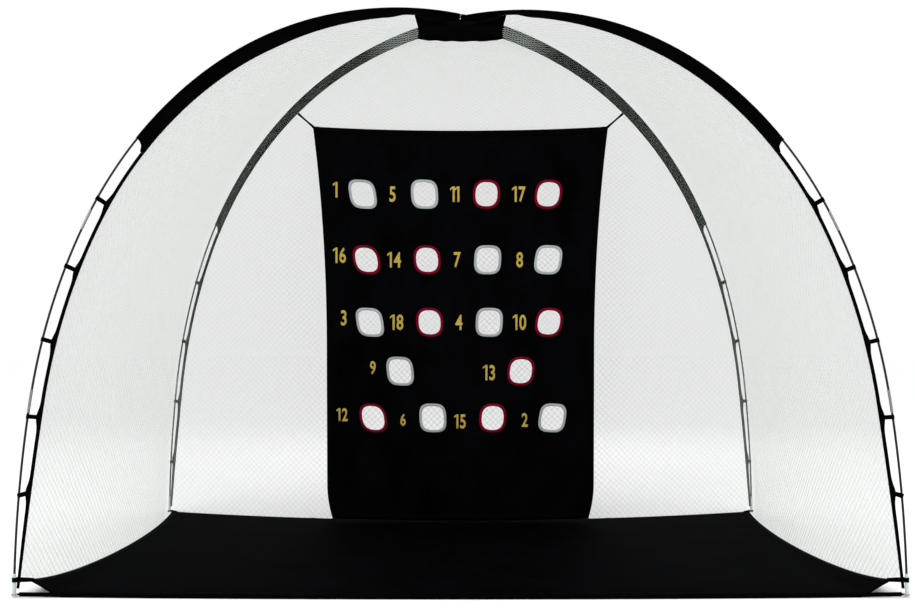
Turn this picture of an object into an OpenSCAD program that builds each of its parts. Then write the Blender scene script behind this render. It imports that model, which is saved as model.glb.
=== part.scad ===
// Dome practice net: two crossed bent poles carry three net panels, a floor sheet and a hole target.
// Millimetres. +Z is up, the origin is on the ground below the crown, and the open front faces -Y.

/* [Footprint and height] */
// Distance between the two front feet, centre to centre
foot_span = 3050; // [2700:10:3400]
// Distance from the front feet to the back feet, centre to centre
foot_depth = 2000; // [1800:10:2200]
// Height of the upper pole's centreline at the crown
crown_h = 2325; // [2200:5:2450]

/* [Pole curve] */
// Share of the bend in the first section from the crown
bend_1 = 0.224; // [0.2:0.001:0.25]
// Share of the bend in the second section
bend_2 = 0.261; // [0.24:0.001:0.28]
// Share of the bend in the third section
bend_3 = 0.246; // [0.22:0.001:0.27]
// Share of the bend in the fourth section
bend_4 = 0.183; // [0.16:0.001:0.2]
// Share of the bend in the section that stands in the foot
bend_5 = 0.086; // [0.075:0.001:0.1]

/* [Poles] */
// Outside diameter of a pole section
pole_d = 8; // [7:0.5:10]
// Bore of a pole section
pole_bore = 4.4; // [4:0.2:5]
// Gap between two sections inside their ferrule
section_gap = 0.4; // [0.2:0.1:1]
// Wall of a ferrule
ferrule_wall = 0.6; // [0.4:0.1:1]
// Length of a ferrule
ferrule_len = 80; // [60:5:100]
// Radial clearance between a section and what slides over it
slide_gap = 0.15; // [0.12:0.01:0.25]
// Diameter of the shock cord inside a pole
shock_d = 3; // [2.6:0.2:3.4]
// Gap between the upper and the lower pole where they cross
crossing_gap = 0.3; // [0.2:0.1:1]

/* [Feet] */
// Outside diameter of a foot tip's socket
tip_d = 12; // [11:0.5:14]
// Height of a foot tip
tip_h = 80; // [70:5:100]
// Diameter of a foot tip's sole
sole_d = 16; // [15:0.5:20]
// Height of a foot tip's sole
sole_h = 8; // [6:1:12]
// Solid plug between the sole and the pole's end
plug_h = 6; // [4:1:10]
// Wire of the steel ring round a front foot
ring_wire = 3; // [2.5:0.5:4]
// Clear space inside a foot ring
ring_bore = 20; // [18:1:24]

/* [Sleeves and hem tapes] */
// Distance from the pole's centreline to the inner edge of its sleeve
strip_w = 46; // [40:1:60]
// Thickness of the sewn sleeve strip and of the tapes
strip_t = 2; // [1.6:0.2:3]
// Wall of the channel that the pole runs in
channel_wall = 1; // [0.8:0.1:1.6]
// Room round a ferrule inside the channel
channel_room = 0.6; // [0.5:0.1:1]
// Distance from the crown's centre to where the sleeves start
sleeve_start = 26; // [22:1:40]
// How far the channel's upper end stands back from the strip's
channel_setback = 2; // [1:0.5:4]
// Depth of the rounded cut at a sleeve's lower end
sleeve_cut = 30; // [20:5:45]
// Width of a hem tape
hem_w = 14; // [10:1:16]
// Distance from the pole's centreline to the net line at a foot
foot_inset = 25; // [23:1:32]
// Height of the hem tapes' lower ends
hem_end = 28; // [24:1:36]
// Clearance between two sewn pieces
sew_gap = 0.3; // [0.2:0.1:0.5]

/* [Loops] */
// Height of a loop on its pole
loop_w = 14; // [10:1:20]
// Thickness of a loop's webbing
loop_t = 1.6; // [1.2:0.2:2.4]
// Clearance of a loop round the pole's ferrules, over which it has to slide
loop_gap = 0.3; // [0.2:0.1:0.5]
// Distance of a front pole's lowest loop from its foot
front_first = 344; // [320:2:360]
// Distance between two loops on a front pole
front_pitch = 270; // [265:1:275]
// Distance of a back pole's lowest loop from its foot
back_first = 260; // [240:2:280]
// Distance between two loops on a back pole
back_pitch = 320; // [315:1:325]

/* [Crown patch] */
// Distance from the crown's centre to a corner of the patch, along a pole
patch_reach = 240; // [200:5:300]
// Thickness of the patch
patch_t = 1.6; // [1.2:0.2:2.4]

/* [Net panels] */
// Thickness of a net panel
net_t = 2; // [1.4:0.2:2]
// How far a panel's edge is tucked in beside its strip
panel_tuck = 0.1; // [0:0.05:0.2]
// Share of a mesh that a strand takes
strand_share = 0.13; // [0.08:0.01:0.2]
// Inward bow of a side panel at the floor
side_bow = 80; // [40:5:120]
// Inward bow of the back panel at the floor
back_bow = 300; // [200:5:310]
// Height at which the panels' bow has faded out
bow_top = 1950; // [1700:10:2050]

/* [Floor] */
// Thickness of the floor sheet
floor_t = 2; // [1.6:0.2:3]
// Forward bow of the front edge
front_bow = 36; // [10:2:40]
// Width of the floor beyond the net line
floor_margin = 3; // [2:0.5:5]
// Distance from a front foot to where the floor's front edge starts
corner_cut = 136; // [110:2:170]
// Distance from a front foot to where the floor's side edge starts
corner_side = 75; // [65:1:100]
// Height of the front ground strap
strap_h = 14; // [12:1:20]
// Thickness of the front ground strap
strap_t = 1.6; // [1.2:0.2:2.4]
// Height on the foot tip at which a corner tab is tied
tab_h = 57; // [45:1:62]
// Width of a corner tab
tab_w = 15; // [12:1:16]
// Reach of a front corner tab over the floor, from its foot
front_tab_reach = 105; // [100:1:130]
// Reach of a back corner tab over the floor, from its foot
back_tab_reach = 60; // [40:1:80]

/* [Target] */
// Distance from the crown to the target's ties, along a back pole
tie_reach = 1026; // [1000:2:1060]
// Height of the target's lower corners above the ground
target_foot_h = 36.5; // [30:0.5:80]
// Drop of the target's upper corners below the tie line
corner_drop = 64; // [50:1:90]
// Half width of the target at its upper corners
target_top = 712; // [690:1:720]
// Half width of the target at its waist
target_waist = 664; // [650:1:675]
// Half width of the target at its lower corners
target_foot = 646; // [630:1:660]
// Distance of the waist below the tie line
waist_drop = 1000; // [900:10:1100]
// Sag of the target's upper edge
top_sag = 20; // [10:1:30]
// How far the target's foot is tied back from below its ties
tie_back = 140; // [100:5:150]
// Thickness of the target sheet
target_t = 2; // [1.6:0.2:2.4]
// Width of the hole cut in the sheet
hole_w = 117; // [100:1:120]
// Height of the hole cut in the sheet
hole_h = 127; // [110:1:130]
// Corner radius of a hole
hole_r = 38; // [25:1:45]
// Width of the binding on the sheet
rim_w = 8; // [6:1:12]
// Thickness of the binding
rim_t = 1.2; // [0.8:0.1:2]
// Width of a corner strap
tie_w = 15; // [10:1:20]
// Thickness of a corner strap
tie_t = 1.6; // [1.2:0.2:2.4]
// Distance of a corner strap's tip from the sleeve that holds it
tie_seat = 1.2; // [1:0.1:2]
// Length of a corner strap's pointed tip
tie_point_l = 14; // [12:1:20]
// Overlap of a corner strap on the sheet
tie_lap = 30; // [20:1:40]
// Width of a foot tie
foot_tie_w = 8; // [6:1:12]

/* [Hidden] */

// Faces on a full turn of a pole's bend, and round its section
BEND_FN = 720;
ROUND_FN = 32;
// Sides of the shock cord and its steps along a section
CORD_SIDES = 6;
CORD_STEPS = 8;
// Steps along one section in a strip's outline, and along a sewn edge
STRIP_STEPS = 12;
EDGE_STEPS = 16;

SECTIONS = 5;
FRONT_LOOPS = 5;
BACK_LOOPS = 4;
SHARES = [bend_1, bend_2, bend_3, bend_4, bend_5];
SHARE_SUM = SHARES * [1, 1, 1, 1, 1];

half_span = foot_span / 2;
half_depth = foot_depth / 2;
foot_reach = norm([half_span, half_depth]);
leg_angle = atan2(half_depth, half_span);

// Legs: front left, front right, back left, back right. The upper pole is front left to back right.
FL = 0;
FR = 1;
BL = 2;
BR = 3;
AZIMUTH = [180 + leg_angle, -leg_angle, 180 - leg_angle, leg_angle];

ferrule_bore = pole_d + 2 * slide_gap;
ferrule_d = ferrule_bore + 2 * ferrule_wall;
cavity_half = ferrule_d / 2 + channel_room;
channel_half = cavity_half + channel_wall;
crossing_drop = ferrule_d + crossing_gap;
pole_end = sole_h + plug_h + section_gap;

// ---- the bent poles ----
// Heading is the angle below the horizontal. An arc is [first heading, last heading, radius, centre].

function turned(i) = i == 0 ? 0 : turned(i - 1) + SHARES[i - 1] / SHARE_SUM;
function unit_radius(i, turn) = 180 / PI / (turn * SHARES[i] / SHARE_SUM);
function unit_out(turn, i = 0) = i == SECTIONS ? 0 :
    unit_radius(i, turn) * (sin(turn * turned(i + 1)) - sin(turn * turned(i))) + unit_out(turn, i + 1);
function unit_fall(turn, i = 0) = i == SECTIONS ? 0 :
    unit_radius(i, turn) * (cos(turn * turned(i)) - cos(turn * turned(i + 1))) + unit_fall(turn, i + 1);
// The turn from crown to foot at which the arcs fall by height over the foot's reach
function whole_turn(height, low = 30, high = 150, n = 40) =
    let(mid = (low + high) / 2)
    n == 0 ? mid :
    unit_fall(mid) / unit_out(mid) < height / foot_reach
        ? whole_turn(height, mid, high, n - 1)
        : whole_turn(height, low, mid, n - 1);
function section_length(turn) = foot_reach / unit_out(turn);
function heading_of(p, r, h) = p - r * [sin(h), cos(h)];
function chain(turn, from, i = 0) = i == SECTIONS ? [] :
    let(
        h0 = turn * turned(i),
        h1 = turn * turned(i + 1),
        r = section_length(turn) * unit_radius(i, turn),
        centre = heading_of(from, r, h0)
    )
    concat([[h0, h1, r, centre]], chain(turn, centre + r * [sin(h1), cos(h1)], i + 1));

turn_a = whole_turn(crown_h);
turn_b = whole_turn(crown_h - crossing_drop);
ARCS_A = chain(turn_a, [0, crown_h]);
ARCS_B = chain(turn_b, [0, crown_h - crossing_drop]);
section_l = section_length(turn_b);

function arcs_of(leg) = leg == FL || leg == BR ? ARCS_A : ARCS_B;
function arc_point(arc, h, inset = 0) = arc[3] + (arc[2] - inset) * [sin(h), cos(h)];
function part_heading(arc, part) = arc[0] + (arc[1] - arc[0]) * part;
// A point on a leg's pole or inside it, t sections from the crown, as [distance out, height]
function pole_point(leg, t, inset = 0) =
    let(i = min(SECTIONS - 1, floor(t)), arc = arcs_of(leg)[i])
    arc_point(arc, part_heading(arc, t - i), inset);
function pole_heading(leg, t) =
    let(i = min(SECTIONS - 1, floor(t)))
    part_heading(arcs_of(leg)[i], t - i);
function heading_at_height(arc, z) = acos((z - arc[3][1]) / arc[2]);

// ---- the net line: where sleeves and hem tapes end and the panels start, alike on every leg ----
line_foot = [foot_reach - foot_inset, hem_end];
line_bend = arc_point(ARCS_B[SECTIONS - 2], ARCS_B[SECTIONS - 2][1], strip_w);
line_heading = ARCS_B[SECTIONS - 2][1];
line_turn = 2 * (atan2(line_bend[1] - line_foot[1], line_foot[0] - line_bend[0]) - line_heading);
line_radius = norm(line_foot - line_bend) / (2 * sin(line_turn / 2));
LINE_ARC = [line_heading, line_heading + line_turn, line_radius, heading_of(line_bend, line_radius, line_heading)];
// The net line's arc at t, and how far inside that arc the line runs
function line_section(t) = t > SECTIONS - 1 ? SECTIONS - 1 : min(SECTIONS - 2, floor(t));
function line_arc(t) = t > SECTIONS - 1 ? LINE_ARC : ARCS_B[line_section(t)];
function line_inset(t) = t > SECTIONS - 1 ? 0 : strip_w;
// A point on the net line, or a distance outside it
function line_point(t, outside = 0) =
    arc_point(line_arc(t), part_heading(line_arc(t), t - line_section(t)), line_inset(t) - outside);
// A point in a leg's plane, carried into the object, with a step to the leg's left
function on_leg(leg, p, aside = 0) =
    let(a = AZIMUTH[leg])
    [p[0] * cos(a) - aside * sin(a), p[0] * sin(a) + aside * cos(a), p[1]];

function steps(from, to, n) = [for (k = [0:n]) from + (to - from) * k / n];
function reversed(list) = [for (k = [len(list) - 1:-1:0]) list[k]];
function mix(a, b, part) = a + (b - a) * part;
// An arc from p to q that bows to the left of the way by bow
function bowed(p, q, bow, n) =
    let(d = q - p, side = [-d[1], d[0]] / norm(d))
    [for (k = [0:n]) p + d * k / n + side * bow * 4 * (k / n) * (1 - k / n)];

// ---- poles ----
module stand(leg) {
    rotate([0, 0, AZIMUTH[leg]]) children();
}

// Sweeps a profile along an arc. In the profile, +x is away from the arc's centre.
module sweep(arc, from, to) {
    translate([arc[3][0], 0, arc[3][1]])
        rotate([90, 0, 0])
            rotate([0, 0, 90 - to])
                rotate_extrude(angle = to - from, $fn = BEND_FN)
                    translate([arc[2], 0])
                        children();
}

module ring_profile(outer, inner) {
    difference() {
        circle(d = outer, $fn = ROUND_FN);
        circle(d = inner, $fn = ROUND_FN);
    }
}

function degrees_of(length, arc) = length / arc[2] * 180 / PI;

// Section i of a leg, counted from the crown
module pole_section(leg, i) {
    arc = arcs_of(leg)[i];
    half_gap = degrees_of(section_gap / 2, arc);
    end = i == SECTIONS - 1 ? heading_at_height(arc, pole_end) : arc[1] - half_gap;
    color([0.05, 0.05, 0.055])
        stand(leg)
            sweep(arc, arc[0] + half_gap, end)
                ring_profile(pole_d, pole_bore);
}

// A ferrule over the joint at the outer end of section i, on the mean curve of its two sections
module joint_ferrule(leg, i) {
    near = arcs_of(leg)[i];
    far = arcs_of(leg)[i + 1];
    joint = arc_point(near, near[1]);
    mean_r = 2 / (1 / near[2] + 1 / far[2]);
    arc = [near[1], near[1], mean_r, heading_of(joint, mean_r, near[1])];
    reach = degrees_of(ferrule_len / 2, arc);
    stand(leg)
        sweep(arc, near[1] - reach, near[1] + reach)
            ring_profile(ferrule_d, ferrule_bore);
}

module crown_ferrule(leg) {
    arc = arcs_of(leg)[0];
    reach = degrees_of(ferrule_len / 2, arc);
    stand(leg)
        sweep(arc, -reach, reach)
            ring_profile(ferrule_d, ferrule_bore);
}

module ferrules(front, back) {
    color([0.72, 0.73, 0.74]) {
        crown_ferrule(front);
        for (leg = [front, back])
            for (i = [0:SECTIONS - 2])
                joint_ferrule(leg, i);
    }
}

// A ring of the shock cord round a point of the pole, square to it. Side turns it alike on both legs.
function cord_ring(leg, t, side) =
    let(
        centre = pole_point(leg, t),
        h = pole_heading(leg, t)
    )
    [for (k = [0:CORD_SIDES - 1])
        let(a = 360 * k / CORD_SIDES, out = shock_d / 2 * cos(a))
        on_leg(leg, centre + out * [sin(h), cos(h)], side * shock_d / 2 * sin(a))];

module shock_cord(front, back) {
    last = SECTIONS - (pole_end + sew_gap) / section_l;
    places = steps(0, last, SECTIONS * CORD_STEPS);
    rings = concat(
        reversed([for (t = places) cord_ring(front, t, 1)]),
        [for (k = [1:len(places) - 1]) cord_ring(back, places[k], -1)]
    );
    n = CORD_SIDES;
    walls = [for (j = [0:len(rings) - 2]) for (k = [0:n - 1])
        let(a = j * n + k, b = j * n + (k + 1) % n)
        each [[a, b + n, b], [a, a + n, b + n]]];
    color([0.85, 0.85, 0.82])
        polyhedron(
            [for (ring = rings) each ring],
            concat(walls, [[for (k = [0:n - 1]) k], [for (k = [n - 1:-1:0]) (len(rings) - 1) * n + k]])
        );
}

// ---- feet ----
module foot_tip(leg) {
    arc = arcs_of(leg)[SECTIONS - 1];
    socket_floor = sole_h + plug_h;
    bite = sole_h / 2;
    color([0.82, 0.87, 0.86])
        stand(leg)
            difference() {
                union() {
                    translate([foot_reach, 0, 0])
                        cylinder(d = sole_d, h = sole_h, $fn = ROUND_FN);
                    sweep(arc, heading_at_height(arc, tip_h), heading_at_height(arc, bite))
                        circle(d = tip_d, $fn = ROUND_FN);
                }
                sweep(arc, heading_at_height(arc, tip_h + plug_h), heading_at_height(arc, socket_floor))
                    circle(d = ferrule_bore, $fn = ROUND_FN);
            }
}

ring_offset = ring_bore / 2 - tip_d / 2 - sew_gap;
ring_mean = ring_bore / 2 + ring_wire / 2;
ring_z = sole_h + sew_gap + ring_wire / 2;

module at_ring(side) {
    translate([side * (half_span - ring_offset), -half_depth, ring_z])
        children();
}

module front_foot_rings() {
    color([0.8, 0.81, 0.82])
        for (side = [-1, 1])
            at_ring(side)
                rotate_extrude($fn = 96)
                    translate([ring_mean, 0])
                        circle(d = ring_wire, $fn = ROUND_FN);
}

// ---- sleeves, hem tapes and loops ----
function loops_on(leg) = leg == FL || leg == FR ? FRONT_LOOPS : BACK_LOOPS;
function loop_first(leg) = leg == FL || leg == FR ? front_first : back_first;
function loop_pitch(leg) = leg == FL || leg == FR ? front_pitch : back_pitch;
function from_foot(length) = SECTIONS - length / section_l;
function sleeve_end(leg) = from_foot(loop_first(leg) + loops_on(leg) * loop_pitch(leg));
function hem_start(leg) = sleeve_end(leg) + (sleeve_cut + sew_gap) / section_l;
// A point between the pole's centreline, at part 0, and the net line, at part 1
function across(leg, t, part) = mix(pole_point(leg, t), line_point(t), part);

// A band along a leg's pole, as an outline: half is its half width
function pole_band(leg, places, half) = concat(
    [for (t = places) pole_point(leg, t, -half)],
    reversed([for (t = places) pole_point(leg, t, half)])
);

module sleeve(leg) {
    start = sleeve_start / section_l;
    end = sleeve_end(leg);
    cut = sleeve_cut / section_l;
    tape = 1 - hem_w / strip_w;
    places = steps(start, end, ceil((end - start) * STRIP_STEPS));
    channel_places = concat([start + channel_setback / section_l], [for (k = [1:len(places) - 1]) places[k]]);
    slack = 1 / STRIP_STEPS;
    strip = concat(
        [for (t = places) pole_point(leg, t)],
        [for (a = [15:15:90]) across(leg, end + cut * (1 - cos(a)), tape * sin(a))],
        [line_point(end + cut)],
        reversed([for (t = places) line_point(t)])
    );
    color([0.03, 0.03, 0.035])
        stand(leg)
            difference() {
                union() {
                    flat_strip(strip, strip_t);
                    flat_strip(pole_band(leg, channel_places, channel_half), 2 * channel_half);
                }
                flat_strip(
                    pole_band(leg, concat([0], places, [end + slack]), cavity_half),
                    2 * cavity_half
                );
            }
}

// A flat piece in a leg's plane, from an outline of [distance out, height]
module flat_strip(outline, thick) {
    rotate([90, 0, 0])
        translate([0, 0, -thick / 2])
            linear_extrude(height = thick)
                polygon(outline);
}

module hem(leg) {
    start = hem_start(leg);
    places = steps(start, SECTIONS, ceil((SECTIONS - start) * STRIP_STEPS));
    outline = concat(
        [for (t = places) line_point(t, hem_w)],
        reversed([for (t = places) line_point(t)])
    );
    color([0.03, 0.03, 0.035])
        stand(leg)
            flat_strip(outline, strip_t);
}

// The way from the pole's centreline, square to it, to the outer edge of the hem tape
function hem_reach(leg, t) =
    let(
        from_centre = pole_point(leg, t) - line_arc(t)[3],
        h = pole_heading(leg, t),
        along = from_centre * [sin(h), cos(h)],
        edge_r = line_arc(t)[2] - line_inset(t) + hem_w
    )
    along - sqrt(along * along - from_centre * from_centre + edge_r * edge_r);

module loop_at(leg, t) {
    p = pole_point(leg, t);
    reach = hem_reach(leg, t) - sew_gap;
    bore = ferrule_d + 2 * loop_gap;
    stand(leg)
        translate([p[0], 0, p[1]])
            rotate([0, pole_heading(leg, t) + 90, 0])
                difference() {
                    union() {
                        cylinder(d = bore + 2 * loop_t, h = loop_w, center = true, $fn = ROUND_FN);
                        translate([0, -strip_t / 2, -loop_w / 2])
                            cube([reach, strip_t, loop_w]);
                    }
                    cylinder(d = bore, h = 2 * loop_w, center = true, $fn = ROUND_FN);
                }
}

module loops(leg) {
    color([0.03, 0.03, 0.035])
        for (k = [0:loops_on(leg) - 1])
            loop_at(leg, from_foot(loop_first(leg) + k * loop_pitch(leg)));
}

// ---- crown patch ----
patch_t_at = patch_reach / section_l;

// A closed shell between two grids of points that have the same rows and columns
module shell(top, bottom) {
    rows = len(top);
    cols = len(top[0]);
    size = rows * cols;
    at = function(j, i) j * cols + i;
    skin = [for (j = [0:rows - 2]) for (i = [0:cols - 2])
        each [[at(j, i), at(j, i + 1), at(j + 1, i + 1)], [at(j, i), at(j + 1, i + 1), at(j + 1, i)]]];
    rim = concat(
        [for (i = [0:cols - 1]) at(0, i)],
        [for (j = [1:rows - 1]) at(j, cols - 1)],
        [for (i = [cols - 2:-1:0]) at(rows - 1, i)],
        [for (j = [rows - 2:-1:1]) at(j, 0)]
    );
    wall = [for (k = [0:len(rim) - 1])
        let(a = rim[k], b = rim[(k + 1) % len(rim)])
        each [[a, a + size, b + size], [a, b + size, b]]];
    polyhedron(
        concat([for (row = top) each row], [for (row = bottom) each row]),
        concat([for (f = skin) reversed(f)], [for (f = skin) f + [size, size, size]], reversed_faces(wall))
    );
}
function reversed_faces(faces) = [for (f = faces) reversed(f)];

module crown_patch() {
    corner = line_point(patch_t_at);
    half = [corner[0] * cos(leg_angle), corner[0] * sin(leg_angle)];
    cells = 8;
    grid = function(drop) [for (b = steps(-1, 1, cells)) [for (a = steps(-1, 1, cells))
        let(part = max(abs(a), abs(b)))
        [a * half[0], b * half[1], line_point(part * patch_t_at)[1] - drop]]];
    color([0.03, 0.03, 0.035])
        shell(grid(sew_gap), grid(sew_gap + patch_t));
}

// ---- net panels ----
// A panel runs from leg to leg, part across, at t sections from the crown, and bows towards the middle.
function bow_at(bow, z) = bow * pow(max(0, 1 - z / bow_top), 1.2);
panel_aside = strip_t / 2 + net_t / 2 - panel_tuck;

// Between its corners, a panel's lowest edge dips from the hem tapes' ends to the floor
function panel_dip(part, t) =
    max(0, t - SECTIONS + 1) * min(1, 8 * part, 8 * (1 - part)) * (hem_end - floor_t - sew_gap) / section_l;

function panel_point(from, to, inward, bow, part, t) =
    let(
        line = line_point(t + panel_dip(part, t)),
        p = on_leg(from, line, panel_aside),
        q = on_leg(to, line, -panel_aside)
    )
    mix(p, q, part) + inward * bow_at(bow, p[2]) * 4 * part * (1 - part);

function unit(v) = v / norm(v);

// A diamond net: lattice points (i, j) with i + j even, and a gap round each inner point with i + j odd
module net_panel(from, to, inward, bow, cols, rows) {
    top_t = patch_t_at + 2 * net_t / section_l;
    spot = function(i, j) panel_point(from, to, inward, bow, i / cols, mix(SECTIONS, top_t, j / rows));
    step = 0.02;
    normal = function(i, j)
        unit(cross(spot(i + step, j) - spot(i - step, j), spot(i, min(rows, j + step)) - spot(i, max(0, j - step))));
    face_point = function(i, j, side) spot(i, j) + normal(i, j) * side * net_t / 2;
    size = (cols + 1) * (rows + 1);
    at = function(i, j) j * (cols + 1) + i;
    gaps = [for (j = [1:rows - 1]) for (i = [1:cols - 1]) if ((i + j) % 2 == 1) [i, j]];
    around = [[1, 0], [0, 1], [-1, 0], [0, -1]];
    open = 1 - strand_share;
    points = concat(
        [for (side = [1, -1]) for (j = [0:rows]) for (i = [0:cols]) face_point(i, j, side)],
        [for (g = gaps) for (side = [1, -1]) for (d = around)
            face_point(g[0] + d[0] * open, g[1] + d[1] * open, side)]
    );
    ring_faces = [for (k = [0:len(gaps) - 1]) for (n = [0:3])
        let(
            g = gaps[k],
            m = (n + 1) % 4,
            a = at(g[0] + around[n][0], g[1] + around[n][1]),
            b = at(g[0] + around[m][0], g[1] + around[m][1]),
            c = 2 * size + 8 * k + n,
            d = 2 * size + 8 * k + m
        )
        each [
            [b, a, c], [b, c, d],
            [a + size, b + size, c + 4], [b + size, d + 4, c + 4],
            [d, c, c + 4], [d, c + 4, d + 4]
        ]];
    edges = concat(
        [for (i = [1:2:cols - 1]) [[i, 0], [i + 1, 0], [i, 1], [i - 1, 0]]],
        [for (j = [1:2:rows - 1]) [[cols, j], [cols, j + 1], [cols - 1, j], [cols, j - 1]]],
        [for (i = [1:2:cols - 1]) [[i, rows], [i - 1, rows], [i, rows - 1], [i + 1, rows]]],
        [for (j = [1:2:rows - 1]) [[0, j], [0, j - 1], [1, j], [0, j + 1]]]
    );
    edge_faces = [for (e = edges)
        let(a = at(e[1][0], e[1][1]), b = at(e[2][0], e[2][1]), c = at(e[3][0], e[3][1]))
        each [
            [c, b, a], [a + size, b + size, c + size],
            [a, a + size, c + size], [a, c + size, c]
        ]];
    color([0.9, 0.93, 0.91])
        polyhedron(points, concat(ring_faces, edge_faces));
}

// ---- floor ----
// The panel's lowest line, moved out to the floor's edge
function floor_edge(from, to, inward, bow, first = 0) =
    [for (part = steps(first, 1, EDGE_STEPS))
        let(p = panel_point(from, to, inward, bow, part, SECTIONS))
        [p[0], p[1]] - floor_margin * [inward[0], inward[1]]];

// The floor's and the strap's front line, at a distance behind the strap's outer face
function front_line(back, x) =
    let(part = (x + half_span) / foot_span)
    [x, -half_depth + back - front_bow * 4 * part * (1 - part)];

module floor_outline() {
    cut_x = half_span - corner_cut;
    left = floor_edge(FL, BL, [1, 0, 0], side_bow, corner_side / foot_depth);
    back = reversed(floor_edge(BR, BL, [0, -1, 0], back_bow));
    right = reversed([for (p = left) [-p[0], p[1]]]);
    front = [for (x = steps(cut_x, -cut_x, EDGE_STEPS)) front_line(strap_t + sew_gap, x)];
    polygon(concat(left, back, right, front));
}

module floor_sheet() {
    color([0.02, 0.02, 0.025])
        linear_extrude(height = floor_t)
            floor_outline();
}

module front_strap() {
    loop_bore = ring_wire + 2 * sew_gap;
    loop_d = loop_bore + 2 * strap_t;
    loop_half = 25;
    end_x = half_span - ring_offset - ring_mean - loop_d / 2 + strap_t / 2;
    places = steps(-end_x, end_x, 2 * EDGE_STEPS);
    color([0.03, 0.03, 0.035])
        union() {
            linear_extrude(height = strap_h)
                polygon(concat(
                    [for (x = places) front_line(0, x)],
                    reversed([for (x = places) front_line(strap_t, x)])
                ));
            for (side = [-1, 1])
                at_ring(side)
                    rotate([0, 0, (side > 0 ? 180 : 0) - loop_half])
                        rotate_extrude(angle = 2 * loop_half, $fn = 96)
                            translate([ring_mean, 0])
                                ring_profile(loop_d, loop_bore);
        }
}

// A tab from a front foot tip down to the floor's corner, on the open side of its hem tape
module front_tab(leg, side) {
    arc = arcs_of(leg)[SECTIONS - 1];
    p = arc_point(arc, heading_at_height(arc, tab_h));
    bore = tip_d + 2 * loop_gap;
    rise = tab_h - floor_t - sew_gap - loop_t / 2;
    slope = atan2(rise, front_tab_reach);
    stand(leg)
        translate([p[0], 0, p[1]])
            difference() {
                union() {
                    cylinder(d = bore + 2 * loop_t, h = tab_w, center = true, $fn = ROUND_FN);
                    translate([0, side * (strip_t / 2 + sew_gap + tab_w / 2), 0])
                        rotate([0, 180 - slope, 0])
                            translate([0, -tab_w / 2, -loop_t / 2])
                                cube([norm([rise, front_tab_reach]), tab_w, loop_t]);
                }
                cylinder(d = bore, h = 4 * tab_w, center = true, $fn = ROUND_FN);
            }
}

// A tab from a back foot's sole onto the floor's corner
module back_tab(leg) {
    bore = sole_d + 2 * loop_gap;
    stand(leg)
        translate([foot_reach, 0, 0])
            difference() {
                union() {
                    cylinder(d = bore + 2 * loop_t, h = sole_h, $fn = ROUND_FN);
                    translate([-back_tab_reach, -tab_w / 2, floor_t + sew_gap])
                        cube([back_tab_reach, tab_w, loop_t]);
                }
                translate([0, 0, -1])
                    cylinder(d = bore, h = sole_h + 2, $fn = ROUND_FN);
            }
}

module corner_tabs() {
    color([0.03, 0.03, 0.035]) {
        front_tab(FL, 1);
        front_tab(FR, -1);
        back_tab(BL);
        back_tab(BR);
    }
}

// ---- target ----
// Rows of holes: [height of the row, first hole's place, distance between holes, red rims]
ROWS = [
    [1608, -479, 303, [false, false, true, true]],
    [1288, -461, 297, [true, true, false, false]],
    [982, -445, 293, [false, true, false, true]],
    [742, -297, 594, [false, true]],
    [512, -430, 294, [true, false, true, false]]
];
tie_t_at = tie_reach / section_l;
tie_point = on_leg(BR, line_point(tie_t_at, -tie_seat));
sheet_back = target_t / 2 + sew_gap + tie_t / 2;
target_drop_z = tie_point[2] - target_foot_h;
target_drop = norm([target_drop_z, tie_back]);
target_tilt = asin(tie_back / target_drop);
corner_top = [target_top, -corner_drop];
corner_foot = [target_foot, -target_drop];

// The corner straps' plane: x to the right, y up from the tie line, z towards the front
module in_target() {
    translate([0, tie_point[1], tie_point[2]])
        rotate([target_tilt, 0, 0])
            rotate([90, 0, 0])
                children();
}

// The sheet's plane, behind the straps
module in_sheet() {
    in_target()
        translate([0, 0, -sheet_back])
            children();
}

module target_outline() {
    waist = [target_waist, -waist_drop];
    mirrored = function(p) [-p[0], p[1]];
    right = concat(
        bowed(corner_top, waist, -14, EDGE_STEPS),
        bowed(waist, corner_foot, 12, EDGE_STEPS)
    );
    left = reversed([for (p = right) mirrored(p)]);
    polygon(concat(
        right,
        bowed(corner_foot, mirrored(corner_foot), 8, EDGE_STEPS),
        left,
        bowed(mirrored(corner_top), corner_top, -top_sag, EDGE_STEPS)
    ));
}

module rounded_hole(grow = 0) {
    w = hole_w + 2 * grow;
    h = hole_h + 2 * grow;
    r = hole_r + grow;
    square([w - 2 * r, h], center = true);
    square([w, h - 2 * r], center = true);
    for (x = [-1, 1])
        for (y = [-1, 1])
            translate([x * (w / 2 - r), y * (h / 2 - r)])
                circle(r = r, $fn = 64);
}

// Puts the child on each hole whose rim is in the list
module at_holes(rims) {
    for (row = ROWS)
        for (k = [0:len(row[3]) - 1])
            if (row[3][k] == rims[0] || row[3][k] == rims[1])
                translate([row[1] + k * row[2], (row[0] - tie_point[2]) / cos(target_tilt)])
                    children();
}

module target_sheet() {
    color([0.02, 0.02, 0.025])
        in_sheet()
            linear_extrude(height = target_t, center = true)
                difference() {
                    target_outline();
                    at_holes([true, false])
                        rounded_hole();
                }
}

// A binding folded over the edge of its hole, with a groove for the sheet
module rim() {
    groove = target_t + 2 * sew_gap;
    difference() {
        linear_extrude(height = groove + 2 * rim_t, center = true)
            difference() {
                rounded_hole(rim_w);
                rounded_hole(-sew_gap - rim_t);
            }
        linear_extrude(height = groove, center = true)
            difference() {
                rounded_hole(2 * rim_w);
                rounded_hole(-sew_gap);
            }
    }
}

module target_rims(red) {
    color(red ? [0.62, 0.1, 0.16] : [0.72, 0.74, 0.74])
        in_sheet()
            at_holes([red, red])
                rim();
}

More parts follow.
